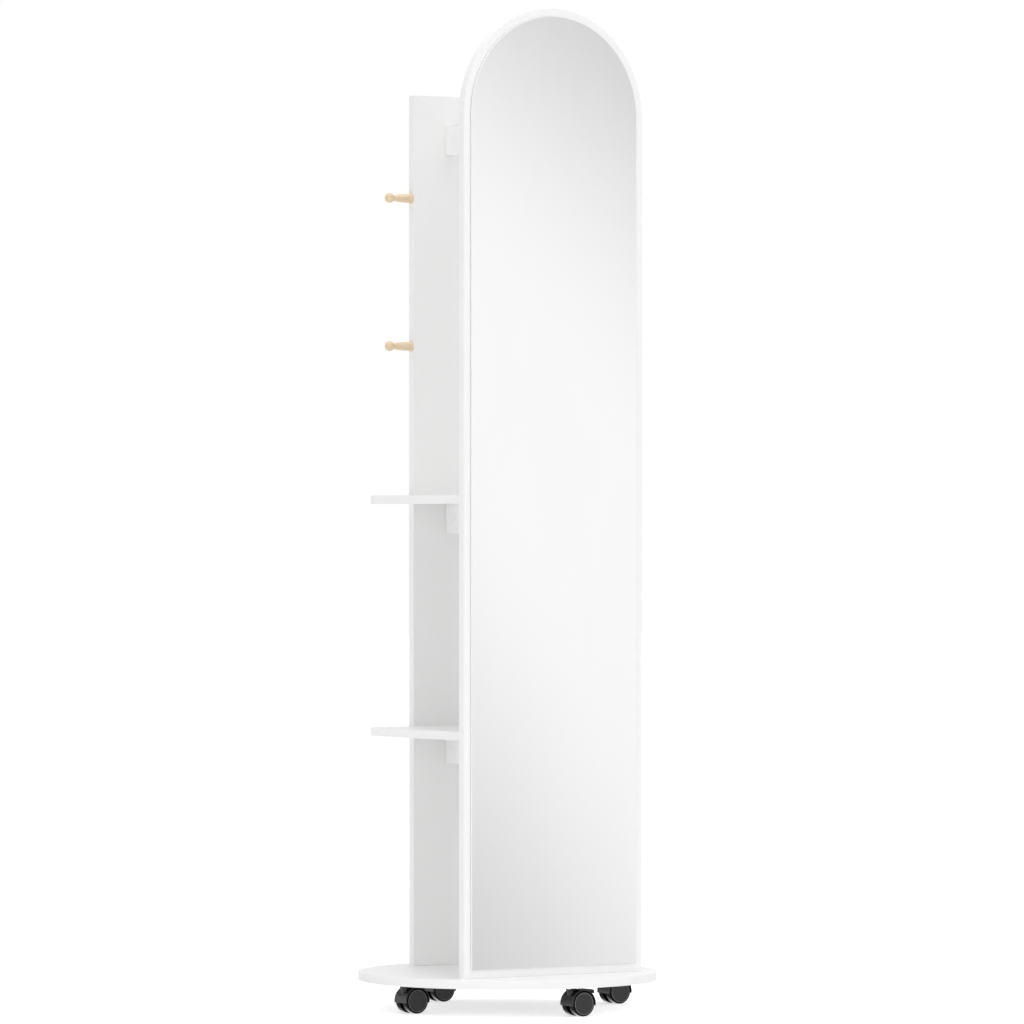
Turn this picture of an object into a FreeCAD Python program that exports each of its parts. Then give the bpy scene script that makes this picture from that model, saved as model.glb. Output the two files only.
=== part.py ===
import FreeCAD, Part
import math
import os

# Mobile mirror with storage: an arched mirror board and a narrow back board on a round base
# with four twin-wheel casters, tied by three depth rails and two shelves, with coat pegs.
# Millimetres. The origin is on the floor under the middle of the base. +X is the viewer's
# right, +Y goes from the mirror face to the back board, +Z is up.

Vec = FreeCAD.Vector
X_AXIS = Vec(1, 0, 0)
Y_AXIS = Vec(0, 1, 0)
Z_AXIS = Vec(0, 0, 1)

# Boards
board = 15.0                # thickness of every board, shelf and rail
edge_round = 1.0            # rounding of the board edges
base_diameter = 520.0
mirror_width = 370.0
mirror_height = 1665.0      # from the base top to the crown of the arch
mirror_setback = 143.0      # from the middle of the base forward to the mirror board's face
clear_depth = 313.0         # between the facing sides of mirror board and back board
back_width = 150.0
back_drop = 135.0           # from the crown of the mirror board down to the top of the back board
rail_height = 52.0
top_rail_drop = 52.0        # from the top of the back board down to the top rail
lower_shelf_level = 421.5   # top of the lower shelf above the base top
upper_shelf_level = 827.0   # top of the upper shelf above the base top
shelf_inset = 10.0          # shelf side edge inside the mirror board's side edge
shelf_corner = 45.0         # rounding of the two rear corners of a shelf
notch_gap = 0.25            # play of a shelf's notch round the back board

# Mirror glass, stuck on with tape
glass_thickness = 3.0
glass_rim = 14.0            # board left free beside and above the glass
glass_foot_rim = 15.0       # board left free under the glass
glass_arris = 0.4           # ground edge of the glass
tape_thickness = 1.0
tape_width = 25.0
tape_pitch = 110.0
tape_end_margin = 60.0      # from the glass foot and from the spring of the arch to the tape ends

# Cam locks, cam bolts and dowels
cam_diameter = 15.0
cam_floor = 2.5             # wood left under a cam
cam_backset = 24.0          # from the end of the rail or shelf to the middle of the cam
cam_play = 0.1
cam_bolt_shank = 5.0
cam_bolt_thread = 7.0
cam_bolt_head = 6.6
cam_bolt_head_length = 3.0
cam_channel = 7.6           # slot in the cam that takes the bolt head
cam_cover = 3.0             # solid outer part of the cam over its slot
cam_slot_width = 1.4
cam_slot_length = 9.0
cam_slot_depth = 1.5
bolt_bore = 7.6             # bore in the end of a rail or shelf for the bolt shank
face_floor = 4.0            # wood left behind a hole in the face of a board
fastener_play = 0.05
dowel_diameter = 8.0
dowel_edge_depth = 20.0     # dowel length inside the edge of a board
dowel_end_gap = 0.5
rail_dowel_offset = 16.0    # above and below the middle of a rail
shelf_front_cams = 120.0    # from the middle of the shelf to each cam at the mirror board
shelf_front_dowels = 60.0
shelf_rear_cams = 45.0      # from the middle of the shelf to each cam at the back board
shelf_rear_dowels = 20.0

# Screws up through the base into the upright boards
base_screw_shank = 5.0
base_screw_head = 10.0
base_screw_head_depth = 4.0
base_screw_bite = 38.0      # length inside the upright board
mirror_screw_pitch = 120.0
mirror_dowel_offset = 160.0
back_screw_offset = 45.0
back_dowel_offset = 20.0    # to the right of the middle, clear of the caster screws under it

# Pegs on the side edges of the back board
peg_drops = {"upper": 181.0, "lower": 441.0}      # from the top of the back board down to each pair
peg_collar_diameter = 18.0
peg_collar_thickness = 3.0
peg_collar_round = 1.2
peg_root_diameter = 16.2
peg_waist_diameter = 13.4
peg_neck_diameter = 10.6
peg_ball_diameter = 17.5
peg_waist_reach = 29.0      # from the board edge to the slim end of the body
peg_neck_reach = 33.3
peg_ball_reach = 45.1       # from the board edge to the middle of the ball
peg_screw_diameter = 4.0
peg_screw_in_board = 25.0
peg_screw_in_peg = 20.0

# Casters
caster_margin = 48.0        # from the edge of the base in to each swivel axis
front_caster_shift = 10.0   # of the front caster, to the left of the middle
back_caster_shift = 18.0    # of the back caster, to the left of the middle
caster_trail = 14.0         # from the swivel axis back to the wheel axle
wheel_diameter = 44.0
wheel_width = 13.6
wheel_shoulder = 2.4        # rounding between tread and outer face
wheel_inner_round = 0.8
wheel_dish_diameter = 12.0  # shallow hollow in the inner face round the axle
wheel_dish_depth = 0.6
web_thickness = 10.0        # middle wall of the hood, between the wheels
wheel_side_gap = 0.4
hood_gap = 0.7              # between wheel tread and hood
hood_wall = 1.5
hood_cut_height = 18.5      # lower edge of the hood above the floor
hood_edge_round = 0.6
hood_headroom = 2.8         # between the top of the hood and the plate
axle_boss_diameter = 11.0
axle_diameter = 5.0
axle_bite = 9.0             # axle length inside each wheel
axle_end_gap = 0.4
running_play = 0.05         # radial, between a turning piece and its pin
fixed_play = 0.02           # radial, between a pin and the piece that holds it
boss_diameter = 13.0
kingpin_diameter = 6.0
kingpin_length = 23.0
kingpin_end_gap = 0.5
collar_diameter = 19.0
collar_height = 4.0
swivel_gap = 0.3            # between the collar and the boss under it
plate_side = 38.0
plate_corner = 5.0
plate_thickness = 2.0
plate_hole_pitch = 28.0
caster_screw_diameter = 3.5
caster_screw_play = 0.25    # radial, in the holes of the plate
caster_screw_length = 12.0
caster_screw_head = 6.6
caster_screw_head_height = 1.5

# Brake levers on the front and back casters
lever_width = 18.0
lever_side_gap = 0.4
lever_pivot_reach = 10.0    # from the wheel axle back to the lever pin
lever_pivot_rise = 0.15     # of the pin's middle outside the hood's surface
lever_barrel_diameter = 3.8
lever_arm_thickness = 2.6
lever_reach = 29.5          # from the wheel axle to the tip of the lever
lever_lip = 6.0             # height of the turned-down tip
lever_droop = 1.6           # fall of the arm from the pin to the tip
lever_corner = 4.0
shoe_start = 11.5           # from the wheel axle to the near side of the brake shoe
shoe_end = 14.5
shoe_gap = 1.0              # between tread and shoe when the brake is off
notch_start = 6.5           # from the wheel axle to the near side of the hood's lever slot
notch_end = 16.4
web_relief = 0.1            # depth of the web below the tread inside the lever slot
lever_pin_diameter = 2.0
lug_width = 3.0
lug_diameter = 4.4

# For the making of the shapes
overrun = 1.0               # how far a cutting shape runs past the surface that it opens
tolerance = 0.001           # within which an edge counts as lying at a level

# Heights and planes that follow from the sizes
wheel_radius = wheel_diameter / 2
hood_inner_radius = wheel_radius + hood_gap
hood_radius = hood_inner_radius + hood_wall
plate_under = wheel_radius + hood_radius + hood_headroom
base_under = plate_under + plate_thickness
base_top = base_under + board
collar_under = plate_under - collar_height
boss_top = collar_under - swivel_gap
caster_half_width = web_thickness / 2 + wheel_side_gap + wheel_width
caster_radius = base_diameter / 2 - caster_margin
back_height = mirror_height - back_drop
top_rail_level = back_height - top_rail_drop
mirror_face = -mirror_setback
mirror_rear = mirror_face + board
back_face = mirror_rear + clear_depth
back_rear = back_face + board
shelf_width = mirror_width - 2 * shelf_inset
shelf_levels = {"lower": lower_shelf_level, "upper": upper_shelf_level}
rail_tops = {
    "rail_top": base_top + top_rail_level,
    "rail_upper": base_top + upper_shelf_level - board,
    "rail_lower": base_top + lower_shelf_level - board,
}
lever_pivot_radius = hood_radius + lever_pivot_rise
lever_pivot_height = wheel_radius + math.sqrt(lever_pivot_radius ** 2 - lever_pivot_reach ** 2)
casters = {
    "front": Vec(-front_caster_shift, -caster_radius, 0),
    "right": Vec(caster_radius, 0, 0),
    "back": Vec(-back_caster_shift, caster_radius, 0),
    "left": Vec(-caster_radius, 0, 0),
}
braked = ("front", "back")

nodes = {}
cuts = {}
cams = []
cam_bolts = []
dowels = []


def box(x0, x1, y0, y1, z0, z1):
    """A block between the given planes."""
    return Part.makeBox(x1 - x0, y1 - y0, z1 - z0, Vec(x0, y0, z0))


def rod(start, direction, length, diameter):
    """A round bar of the given length from a point along a direction."""
    return Part.makeCylinder(diameter / 2, length, start, direction)


def prism(points, normal):
    """A straight-sided solid from an outline of points, swept along the normal."""
    outline = Part.makePolygon(points + [points[0]])
    return Part.Face(outline).extrude(normal)


def placed(shape, origin, x_dir, z_dir):
    """A copy whose own X and Z directions point along x_dir and z_dir at the origin given."""
    y_dir = z_dir.cross(x_dir)
    matrix = FreeCAD.Matrix(
        x_dir.x, y_dir.x, z_dir.x, origin.x,
        x_dir.y, y_dir.y, z_dir.y, origin.y,
        x_dir.z, y_dir.z, z_dir.z, origin.z,
        0, 0, 0, 1,
    )
    copy = shape.copy()
    copy.Placement = FreeCAD.Placement(matrix)
    return copy


def rounded(shape, radius, keep):
    """The shape with the chosen edges rounded."""
    edges = [edge for edge in shape.Edges if keep(edge)]
    return shape.makeFillet(radius, edges)


def add_cut(node, shape):
    """Note a hole that is cut from a node before it is written."""
    cuts.setdefault(node, []).append(shape)


def lies_on_face(edge, axis, levels):
    """Whether every point of an edge lies on one of two planes across an axis."""
    for level in levels:
        if all(abs(vertex.Point.dot(axis) - level) < tolerance for vertex in edge.Vertexes):
            return True
    return False


def arch_face(half_width, foot, crown, y):
    """A flat arch: straight sides and a half-round top, in the plane at y."""
    spring = crown - half_width
    left_foot = Vec(-half_width, y, foot)
    left_spring = Vec(-half_width, y, spring)
    right_spring = Vec(half_width, y, spring)
    right_foot = Vec(half_width, y, foot)
    edges = [
        Part.LineSegment(left_foot, left_spring).toShape(),
        Part.Arc(left_spring, Vec(0, y, crown), right_spring).toShape(),
        Part.LineSegment(right_spring, right_foot).toShape(),
        Part.LineSegment(right_foot, left_foot).toShape(),
    ]
    return Part.Face(Part.Wire(edges))


def arch_panel(half_width, foot, crown, front, rear, softening):
    """An arched board or glass between two planes, with softened face edges."""
    panel = arch_face(half_width, foot, crown, front).extrude(Vec(0, rear - front, 0))
    return rounded(panel, softening, lambda edge: lies_on_face(edge, Y_AXIS, (front, rear)))


def make_base():
    """The round base board."""
    disc = rod(Vec(0, 0, base_under), Z_AXIS, board, base_diameter)
    return rounded(disc, edge_round, lambda edge: len(edge.Vertexes) == 1)


def make_upright_boards():
    """The arched mirror board and the narrow back board."""
    half = mirror_width / 2
    crown = base_top + mirror_height
    nodes["mirror_board"] = arch_panel(half, base_top, crown, mirror_face, mirror_rear, edge_round)
    half = back_width / 2
    top = base_top + back_height
    panel = box(-half, half, back_face, back_rear, base_top, top)
    nodes["back_board"] = rounded(panel, edge_round, lambda edge: edge.Length > board * 2)


def make_glass():
    """The mirror glass and the tape strips that hold it."""
    glass_rear = mirror_face - tape_thickness
    glass_face = glass_rear - glass_thickness
    half = mirror_width / 2 - glass_rim
    foot = base_top + glass_foot_rim
    crown = base_top + mirror_height - glass_rim
    nodes["mirror_glass"] = arch_panel(half, foot, crown, glass_face, glass_rear, glass_arris)
    low = foot + tape_end_margin
    high = crown - half - tape_end_margin
    strips = []
    for place in (-tape_pitch, 0, tape_pitch):
        left = place - tape_width / 2
        strips.append(box(left, left + tape_width, glass_rear, mirror_face, low, high))
    nodes["mirror_tape"] = Part.makeCompound(strips)


def make_shelf(level):
    """A shelf with round rear corners and a notch round the back board."""
    half = shelf_width / 2
    top = base_top + level
    panel = box(-half, half, mirror_rear, back_rear, top - board, top)
    corners = [
        edge for edge in panel.Edges
        if abs(edge.Length - board) < tolerance and edge.Vertexes[0].Point.y > back_face
    ]
    panel = panel.makeFillet(shelf_corner, corners)
    panel = rounded(panel, edge_round, lambda edge: lies_on_face(edge, Z_AXIS, (top - board, top)))
    notch_half = back_width / 2 + notch_gap
    notch = box(-notch_half, notch_half, back_face, back_rear + board, top - 2 * board, top + board)
    return panel.cut(notch)


def make_rail(top):
    """A rail on edge between the two upright boards."""
    half = board / 2
    panel = box(-half, half, mirror_rear, back_face, top - rail_height, top)
    return rounded(panel, edge_round, lambda edge: edge.Length > rail_height * 2)


def cam_unit():
    """A cam and its bolt, with the bolt along +X from a board face and the cam open to +Z."""
    depth = board - cam_floor
    under = board / 2 - depth
    centre = Vec(cam_backset, 0, under)
    cam = rod(centre, Z_AXIS, depth, cam_diameter - 2 * cam_play)
    head_start = cam_backset - cam_bolt_head_length / 2
    channel_top = board / 2 - cam_cover
    half = cam_channel / 2
    cam = cam.cut(box(0, cam_backset + half, -half, half, under - overrun, channel_top))
    arm = cam_slot_length / 2
    half = cam_slot_width / 2
    slot_floor = board / 2 - cam_slot_depth
    cam = cam.cut(box(cam_backset - arm, cam_backset + arm, -half, half, slot_floor, board))
    cam = cam.cut(box(cam_backset - half, cam_backset + half, -arm, arm, slot_floor, board))
    thread_depth = board - face_floor
    thread_start = Vec(-thread_depth + dowel_end_gap, 0, 0)
    thread = rod(thread_start, X_AXIS, thread_depth - dowel_end_gap, cam_bolt_thread - 2 * fastener_play)
    shank = rod(Vec(0, 0, 0), X_AXIS, head_start, cam_bolt_shank)
    head = rod(Vec(head_start, 0, 0), X_AXIS, cam_bolt_head_length, cam_bolt_head)
    bolt = thread.fuse([shank, head]).removeSplitter()
    face_hole = rod(Vec(-thread_depth, 0, 0), X_AXIS, thread_depth, cam_bolt_thread)
    end_bore = rod(Vec(0, 0, 0), X_AXIS, cam_backset, bolt_bore)
    pocket = rod(centre, Z_AXIS, board, cam_diameter)
    return cam, bolt, face_hole, end_bore.fuse(pocket)


def add_cam(carrier, joined, origin, into, opening):
    """Join a rail or shelf to the face of an upright board with a cam and its bolt."""
    cam, bolt, face_hole, pocket = [placed(shape, origin, into, opening) for shape in CAM_UNIT]
    cams.append(cam)
    cam_bolts.append(bolt)
    add_cut(carrier, face_hole)
    add_cut(joined, pocket)


def add_dowel(carrier, joined, origin, into):
    """Locate the edge of one board on the face of another with a dowel."""
    face_depth = board - face_floor
    start = origin - into * (face_depth - dowel_end_gap)
    length = face_depth + dowel_edge_depth - 2 * dowel_end_gap
    dowels.append(rod(start, into, length, dowel_diameter - 2 * fastener_play))
    add_cut(carrier, rod(origin - into * face_depth, into, face_depth, dowel_diameter))
    add_cut(joined, rod(origin, into, dowel_edge_depth, dowel_diameter))


def join_rails():
    """Cams in the left side of each rail, and two dowels at each end."""
    ends = (("mirror_board", mirror_rear, Y_AXIS), ("back_board", back_face, -Y_AXIS))
    for rail, top in rail_tops.items():
        middle = top - rail_height / 2
        for carrier, face, into in ends:
            add_cam(carrier, rail, Vec(0, face, middle), into, -X_AXIS)
            for side in (-1, 1):
                place = Vec(0, face, middle + side * rail_dowel_offset)
                add_dowel(carrier, rail, place, into)


def join_shelves():
    """Cams in the underside of each shelf, and dowels beside them."""
    ends = (
        ("mirror_board", mirror_rear, Y_AXIS, shelf_front_cams, shelf_front_dowels),
        ("back_board", back_face, -Y_AXIS, shelf_rear_cams, shelf_rear_dowels),
    )
    for name, level in shelf_levels.items():
        middle = base_top + level - board / 2
        for carrier, face, into, cam_offset, dowel_offset in ends:
            for side in (-1, 1):
                place = Vec(side * cam_offset, face, middle)
                add_cam(carrier, "shelf_" + name, place, into, -Z_AXIS)
                place = Vec(side * dowel_offset, face, middle)
                add_dowel(carrier, "shelf_" + name, place, into)


def join_base():
    """Screws and dowels between the base and the feet of the upright boards."""
    mirror_middle = mirror_face + board / 2
    back_middle = back_face + board / 2
    screws = []
    places = [("mirror_board", x, mirror_middle) for x in (-mirror_screw_pitch, 0, mirror_screw_pitch)]
    places += [("back_board", x, back_middle) for x in (-back_screw_offset, back_screw_offset)]
    for upright, x, y in places:
        foot = Vec(x, y, base_under)
        shank = rod(foot, Z_AXIS, board + base_screw_bite, base_screw_shank)
        head = Part.makeCone(base_screw_head / 2, base_screw_shank / 2, base_screw_head_depth, foot, Z_AXIS)
        screws.append(shank.fuse(head).removeSplitter())
        hole = rod(foot, Z_AXIS, board + base_screw_bite, base_screw_shank + 2 * fastener_play)
        sink = Part.makeCone(
            base_screw_head / 2 + fastener_play, base_screw_shank / 2 + fastener_play,
            base_screw_head_depth, foot, Z_AXIS,
        )
        add_cut("base_disc", hole.fuse(sink))
        add_cut(upright, hole)
    nodes["base_screws"] = Part.makeCompound(screws)
    for x in (-mirror_dowel_offset, mirror_dowel_offset):
        add_dowel("base_disc", "mirror_board", Vec(x, mirror_middle, base_top), Z_AXIS)
    add_dowel("base_disc", "back_board", Vec(back_dowel_offset, back_middle, base_top), Z_AXIS)


def peg_solid():
    """A turned peg along +X from its collar at the origin, bored for its screw."""
    root = peg_root_diameter / 2
    waist = peg_waist_diameter / 2
    neck = peg_neck_diameter / 2
    ball = peg_ball_diameter / 2
    collar = peg_collar_diameter / 2
    # The neck runs on into the ball, past where the ball is as thick as the neck
    ball_start = peg_ball_reach - math.sqrt(ball ** 2 - neck ** 2)
    body = Part.makeCone(root, waist, peg_waist_reach - peg_collar_thickness,
                         Vec(peg_collar_thickness, 0, 0), X_AXIS)
    cove = Part.makeCone(waist, neck, peg_neck_reach - peg_waist_reach, Vec(peg_waist_reach, 0, 0), X_AXIS)
    link = rod(Vec(peg_neck_reach, 0, 0), X_AXIS, max(ball_start - peg_neck_reach, 0) + neck, 2 * neck)
    head = Part.makeSphere(ball, Vec(peg_ball_reach, 0, 0))
    disc = rod(Vec(0, 0, 0), X_AXIS, peg_collar_thickness, 2 * collar)
    disc = rounded(disc, peg_collar_round, lambda edge: lies_on_face(edge, X_AXIS, (peg_collar_thickness,)))
    peg = disc.fuse([body, cove, link, head]).removeSplitter()
    hole_diameter = peg_screw_diameter + 2 * fastener_play
    return peg.cut(rod(Vec(0, 0, 0), X_AXIS, peg_screw_in_peg + dowel_end_gap, hole_diameter))


def make_pegs():
    """Pegs on both side edges of the back board, each on a double-ended screw."""
    peg = peg_solid()
    middle = back_face + board / 2
    hole_diameter = peg_screw_diameter + 2 * fastener_play
    screws = []
    for side_name, out in (("left", -X_AXIS), ("right", X_AXIS)):
        for level_name, drop in peg_drops.items():
            root = Vec(out.x * back_width / 2, middle, base_top + back_height - drop)
            nodes["peg_" + side_name + "_" + level_name] = placed(peg, root, out, Z_AXIS)
            start = root - out * peg_screw_in_board
            length = peg_screw_in_board + peg_screw_in_peg
            screws.append(rod(start, out, length, peg_screw_diameter))
            hole_start = root - out * (peg_screw_in_board + dowel_end_gap)
            hole_length = peg_screw_in_board + dowel_end_gap
            add_cut("back_board", rod(hole_start, out, hole_length, hole_diameter))
    nodes["peg_screws"] = Part.makeCompound(screws)


def across(x, z, half_width, diameter):
    """A round bar along Y, centred on the caster, at the given place behind the swivel axis."""
    return rod(Vec(x, -half_width, z), Y_AXIS, 2 * half_width, diameter)


def make_plate():
    """The mounting plate and swivel collar, about the swivel axis."""
    half = plate_side / 2
    plate = box(-half, half, -half, half, plate_under, base_under)
    plate = rounded(plate, plate_corner, lambda edge: abs(edge.Length - plate_thickness) < tolerance)
    plate = plate.fuse(rod(Vec(0, 0, collar_under), Z_AXIS, collar_height, collar_diameter))
    bore = kingpin_diameter + 2 * fixed_play
    plate = plate.cut(rod(Vec(0, 0, collar_under - overrun), Z_AXIS, base_under, bore))
    hole = caster_screw_diameter + 2 * caster_screw_play
    for x, y in screw_places():
        plate = plate.cut(rod(Vec(x, y, plate_under - overrun), Z_AXIS, base_under, hole))
    return plate.removeSplitter()


def screw_places():
    """The four screws of a plate, about the swivel axis."""
    half = plate_hole_pitch / 2
    return [(x, y) for x in (-half, half) for y in (-half, half)]


def make_caster_screw(x, y):
    """One screw up through the plate into the base."""
    head_start = plate_under - caster_screw_head_height
    head = rod(Vec(x, y, head_start), Z_AXIS, caster_screw_head_height, caster_screw_head)
    shank = rod(Vec(x, y, plate_under), Z_AXIS, caster_screw_length, caster_screw_diameter)
    return head.fuse(shank).removeSplitter()


def make_kingpin():
    """The pin that the hood swivels on."""
    return rod(Vec(0, 0, base_under - kingpin_length), Z_AXIS, kingpin_length, kingpin_diameter)


def wheel_cavities():
    """The two round spaces for the wheels, open to the sides."""
    spaces = []
    for side in (-1, 1):
        start = Vec(caster_trail, side * web_thickness / 2, wheel_radius)
        spaces.append(rod(start, Y_AXIS * side, caster_half_width, 2 * hood_inner_radius))
    return spaces


def make_hood(has_lever):
    """The hood over both wheels, with its middle web, its stem boss and, if braked, the lever lugs."""
    hood = across(caster_trail, wheel_radius, caster_half_width, 2 * hood_radius)
    hood = rounded(hood, hood_edge_round, lambda edge: len(edge.Vertexes) == 1)
    boss = rod(Vec(0, 0, wheel_radius), Z_AXIS, boss_top - wheel_radius, boss_diameter)
    hood = hood.fuse(boss)
    pin_x = caster_trail + lever_pivot_reach
    slot_half = lever_width / 2 + lever_side_gap
    if has_lever:
        for side in (-1, 1):
            start = Vec(pin_x, side * slot_half, lever_pivot_height)
            hood = hood.fuse(rod(start, Y_AXIS * side, lug_width, lug_diameter))
    below = hood_radius * 2
    hood = hood.cut(box(-below, below * 2, -below, below, -below, hood_cut_height))
    hood = hood.cut(wheel_cavities())
    hood = hood.fuse(across(caster_trail, wheel_radius, web_thickness / 2, axle_boss_diameter))
    hood = hood.cut(across(caster_trail, wheel_radius, web_thickness, axle_diameter + 2 * fixed_play))
    # The collar runs in a flat seat that is sunk into the top of the hood
    seat_radius = collar_diameter / 2 + swivel_gap
    seat = rod(Vec(0, 0, boss_top), Z_AXIS, base_under, 2 * seat_radius)
    hood = hood.cut(seat)
    pin_bore = rod(
        Vec(0, 0, base_under - kingpin_length - kingpin_end_gap), Z_AXIS,
        base_under, kingpin_diameter + 2 * running_play,
    )
    hood = hood.cut(pin_bore)
    if has_lever:
        slot = box(
            caster_trail + notch_start, caster_trail + notch_end,
            -slot_half, slot_half, wheel_radius, base_under,
        )
        kept = across(caster_trail, wheel_radius, web_thickness / 2, 2 * (wheel_radius - web_relief))
        hood = hood.cut(slot.cut(kept))
        pin_half = slot_half + lug_width + overrun
        hood = hood.cut(across(pin_x, lever_pivot_height, pin_half, lever_pin_diameter + 2 * fixed_play))
    return hood.removeSplitter()


def make_axle():
    """The axle that both wheels turn on, pressed into the web."""
    half = web_thickness / 2 + wheel_side_gap + axle_bite
    return across(caster_trail, wheel_radius, half, axle_diameter)


def make_wheel(side):
    """One closed wheel of the pair; side is -1 for the front one and 1 for the rear one."""
    inner = web_thickness / 2 + wheel_side_gap
    start = Vec(caster_trail, side * inner, wheel_radius)
    out = Y_AXIS * side
    wheel = rod(start, out, wheel_width, wheel_diameter)
    inner_level = inner * side
    outer_level = (inner + wheel_width) * side
    wheel = rounded(wheel, wheel_shoulder, lambda edge: lies_on_face(edge, Y_AXIS, (outer_level,)))
    wheel = rounded(wheel, wheel_inner_round, lambda edge: lies_on_face(edge, Y_AXIS, (inner_level,)))
    wheel = wheel.cut(rod(start, out, axle_bite + axle_end_gap, axle_diameter + 2 * running_play))
    return wheel.cut(rod(start, out, wheel_dish_depth, wheel_dish_diameter))


def make_lever():
    """The brake lever: a barrel on its pin, an arm with a turned-down tip, and the brake shoe."""
    half = lever_width / 2
    pin_x = caster_trail + lever_pivot_reach
    pin_z = lever_pivot_height
    tip_x = caster_trail + lever_reach
    top = pin_z + lever_barrel_diameter / 2
    tip_top = top - lever_droop
    lip_x = tip_x - lever_arm_thickness
    arm = prism(
        [
            Vec(pin_x, -half, top),
            Vec(tip_x, -half, tip_top),
            Vec(tip_x, -half, tip_top - lever_lip),
            Vec(lip_x, -half, tip_top - lever_lip),
            Vec(lip_x, -half, tip_top - lever_arm_thickness),
            Vec(pin_x, -half, top - lever_arm_thickness),
        ],
        Vec(0, lever_width, 0),
    )
    tip_edges = [
        edge for edge in arm.Edges
        if abs(edge.Length - lever_lip) < tolerance and abs(edge.CenterOfMass.x - tip_x) < tolerance
    ]
    arm = arm.makeFillet(min(lever_corner, half / 2), tip_edges)
    barrel = across(pin_x, pin_z, half, lever_barrel_diameter)
    shoe = box(
        caster_trail + shoe_start, caster_trail + shoe_end, -half, half,
        wheel_radius, top - lever_arm_thickness,
    )
    tread = across(caster_trail, wheel_radius, caster_half_width, 2 * (wheel_radius + shoe_gap))
    lever = arm.fuse([barrel, shoe.cut(tread)]).removeSplitter()
    return lever.cut(across(pin_x, pin_z, half + overrun, lever_pin_diameter + 2 * running_play))


def make_lever_pin():
    """The pin through the lugs of the hood and the barrel of the lever."""
    half = lever_width / 2 + lever_side_gap + lug_width
    return across(caster_trail + lever_pivot_reach, lever_pivot_height, half, lever_pin_diameter)


def moved(shape, place):
    """A copy of the shape shifted by a vector."""
    copy = shape.copy()
    copy.translate(place)
    return copy


def make_casters():
    """The four casters, all trailing to the right, with brakes on the front and back ones."""
    pieces = {
        "plate": make_plate(),
        "kingpin": make_kingpin(),
        "axle": make_axle(),
        "wheel_a": make_wheel(-1),
        "wheel_b": make_wheel(1),
    }
    lever_pieces = {"lever": make_lever(), "lever_pin": make_lever_pin()}
    hole_diameter = caster_screw_diameter + 2 * fastener_play
    hole_length = caster_screw_length - plate_thickness + dowel_end_gap
    screws = []
    for name, place in casters.items():
        prefix = "caster_" + name + "_"
        nodes[prefix + "hood"] = moved(make_hood(name in braked), place)
        chosen = dict(pieces, **lever_pieces) if name in braked else pieces
        for piece, shape in chosen.items():
            nodes[prefix + piece] = moved(shape, place)
        for x, y in screw_places():
            screws.append(moved(make_caster_screw(x, y), place))
            hole_start = place + Vec(x, y, base_under)
            add_cut("base_disc", rod(hole_start, Z_AXIS, hole_length, hole_diameter))
    nodes["caster_screws"] = Part.makeCompound(screws)


CAM_UNIT = cam_unit()
nodes["base_disc"] = make_base()
make_upright_boards()
make_glass()
for shelf_name, shelf_level in shelf_levels.items():
    nodes["shelf_" + shelf_name] = make_shelf(shelf_level)
for rail_name, rail_top in rail_tops.items():
    nodes[rail_name] = make_rail(rail_top)
join_rails()
join_shelves()
join_base()
make_pegs()
make_casters()
nodes["cam_locks"] = Part.makeCompound(cams)
nodes["cam_bolts"] = Part.makeCompound(cam_bolts)
nodes["dowels"] = Part.makeCompound(dowels)

os.makedirs("parts", exist_ok=True)
for node, shape in nodes.items():
    for hole in cuts.get(node, []):
        shape = shape.cut(hole)
    if not shape.isValid():
        print("invalid shape:", node)
    shape.exportStep(os.path.join("parts", node + ".step"))
    print(node, len(shape.Solids), "solids", round(shape.Volume / 1000, 2), "cm3")
print(len(nodes), "nodes, base top at", base_top, "total height", base_top + mirror_height)
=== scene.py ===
"""Looks of a mobile mirror with storage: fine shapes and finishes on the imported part, in a studio."""
import logging
import math
from collections.abc import Callable, Sequence
from dataclasses import dataclass, field
from enum import Enum
from functools import cache

import bmesh
import bpy
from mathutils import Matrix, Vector


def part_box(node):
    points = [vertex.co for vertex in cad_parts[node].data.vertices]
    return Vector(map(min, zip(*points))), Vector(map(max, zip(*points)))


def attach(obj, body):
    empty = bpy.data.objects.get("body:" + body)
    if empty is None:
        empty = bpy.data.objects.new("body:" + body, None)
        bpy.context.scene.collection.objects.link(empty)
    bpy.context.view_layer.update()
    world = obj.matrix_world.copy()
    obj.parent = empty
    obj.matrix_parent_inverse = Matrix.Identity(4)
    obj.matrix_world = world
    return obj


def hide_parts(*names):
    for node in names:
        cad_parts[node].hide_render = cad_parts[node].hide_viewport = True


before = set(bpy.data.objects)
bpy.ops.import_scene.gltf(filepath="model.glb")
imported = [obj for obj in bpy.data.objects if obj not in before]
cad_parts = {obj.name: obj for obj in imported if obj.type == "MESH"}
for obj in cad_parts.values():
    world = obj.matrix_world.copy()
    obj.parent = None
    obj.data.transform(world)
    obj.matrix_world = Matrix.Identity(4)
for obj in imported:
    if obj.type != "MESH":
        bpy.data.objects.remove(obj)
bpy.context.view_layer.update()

LOG = logging.getLogger("scene")

MM = 0.001
SAME_POINT = 1e-6  # points closer than this, in metres, are one
FULL_TURN = 2 * math.pi
THREAD_SIDES = 16  # points round a thread
UPRIGHT = 0.9  # share of Z from which an axis counts as upright
NOISE_MIDDLE = (0.3, 0.7)  # nearly all of a noise lies between these
PATCHES = (0.35, 0.65)  # where in a noise two colours of a finish lie
WIPES_PER_PATCH = 3  # how much finer the uneven gloss is than the colour
PATCH_DETAIL, WIPE_DETAIL, GRAIN_DETAIL, WOOD_DETAIL = 4.0, 3.0, 2.0, 5.0  # finer layers of a noise
X_AXIS = Vector((1, 0, 0))
Y_AXIS = Vector((0, 1, 0))
Z_AXIS = Vector((0, 0, 1))
AXES = (X_AXIS, Y_AXIS, Z_AXIS)

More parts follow.
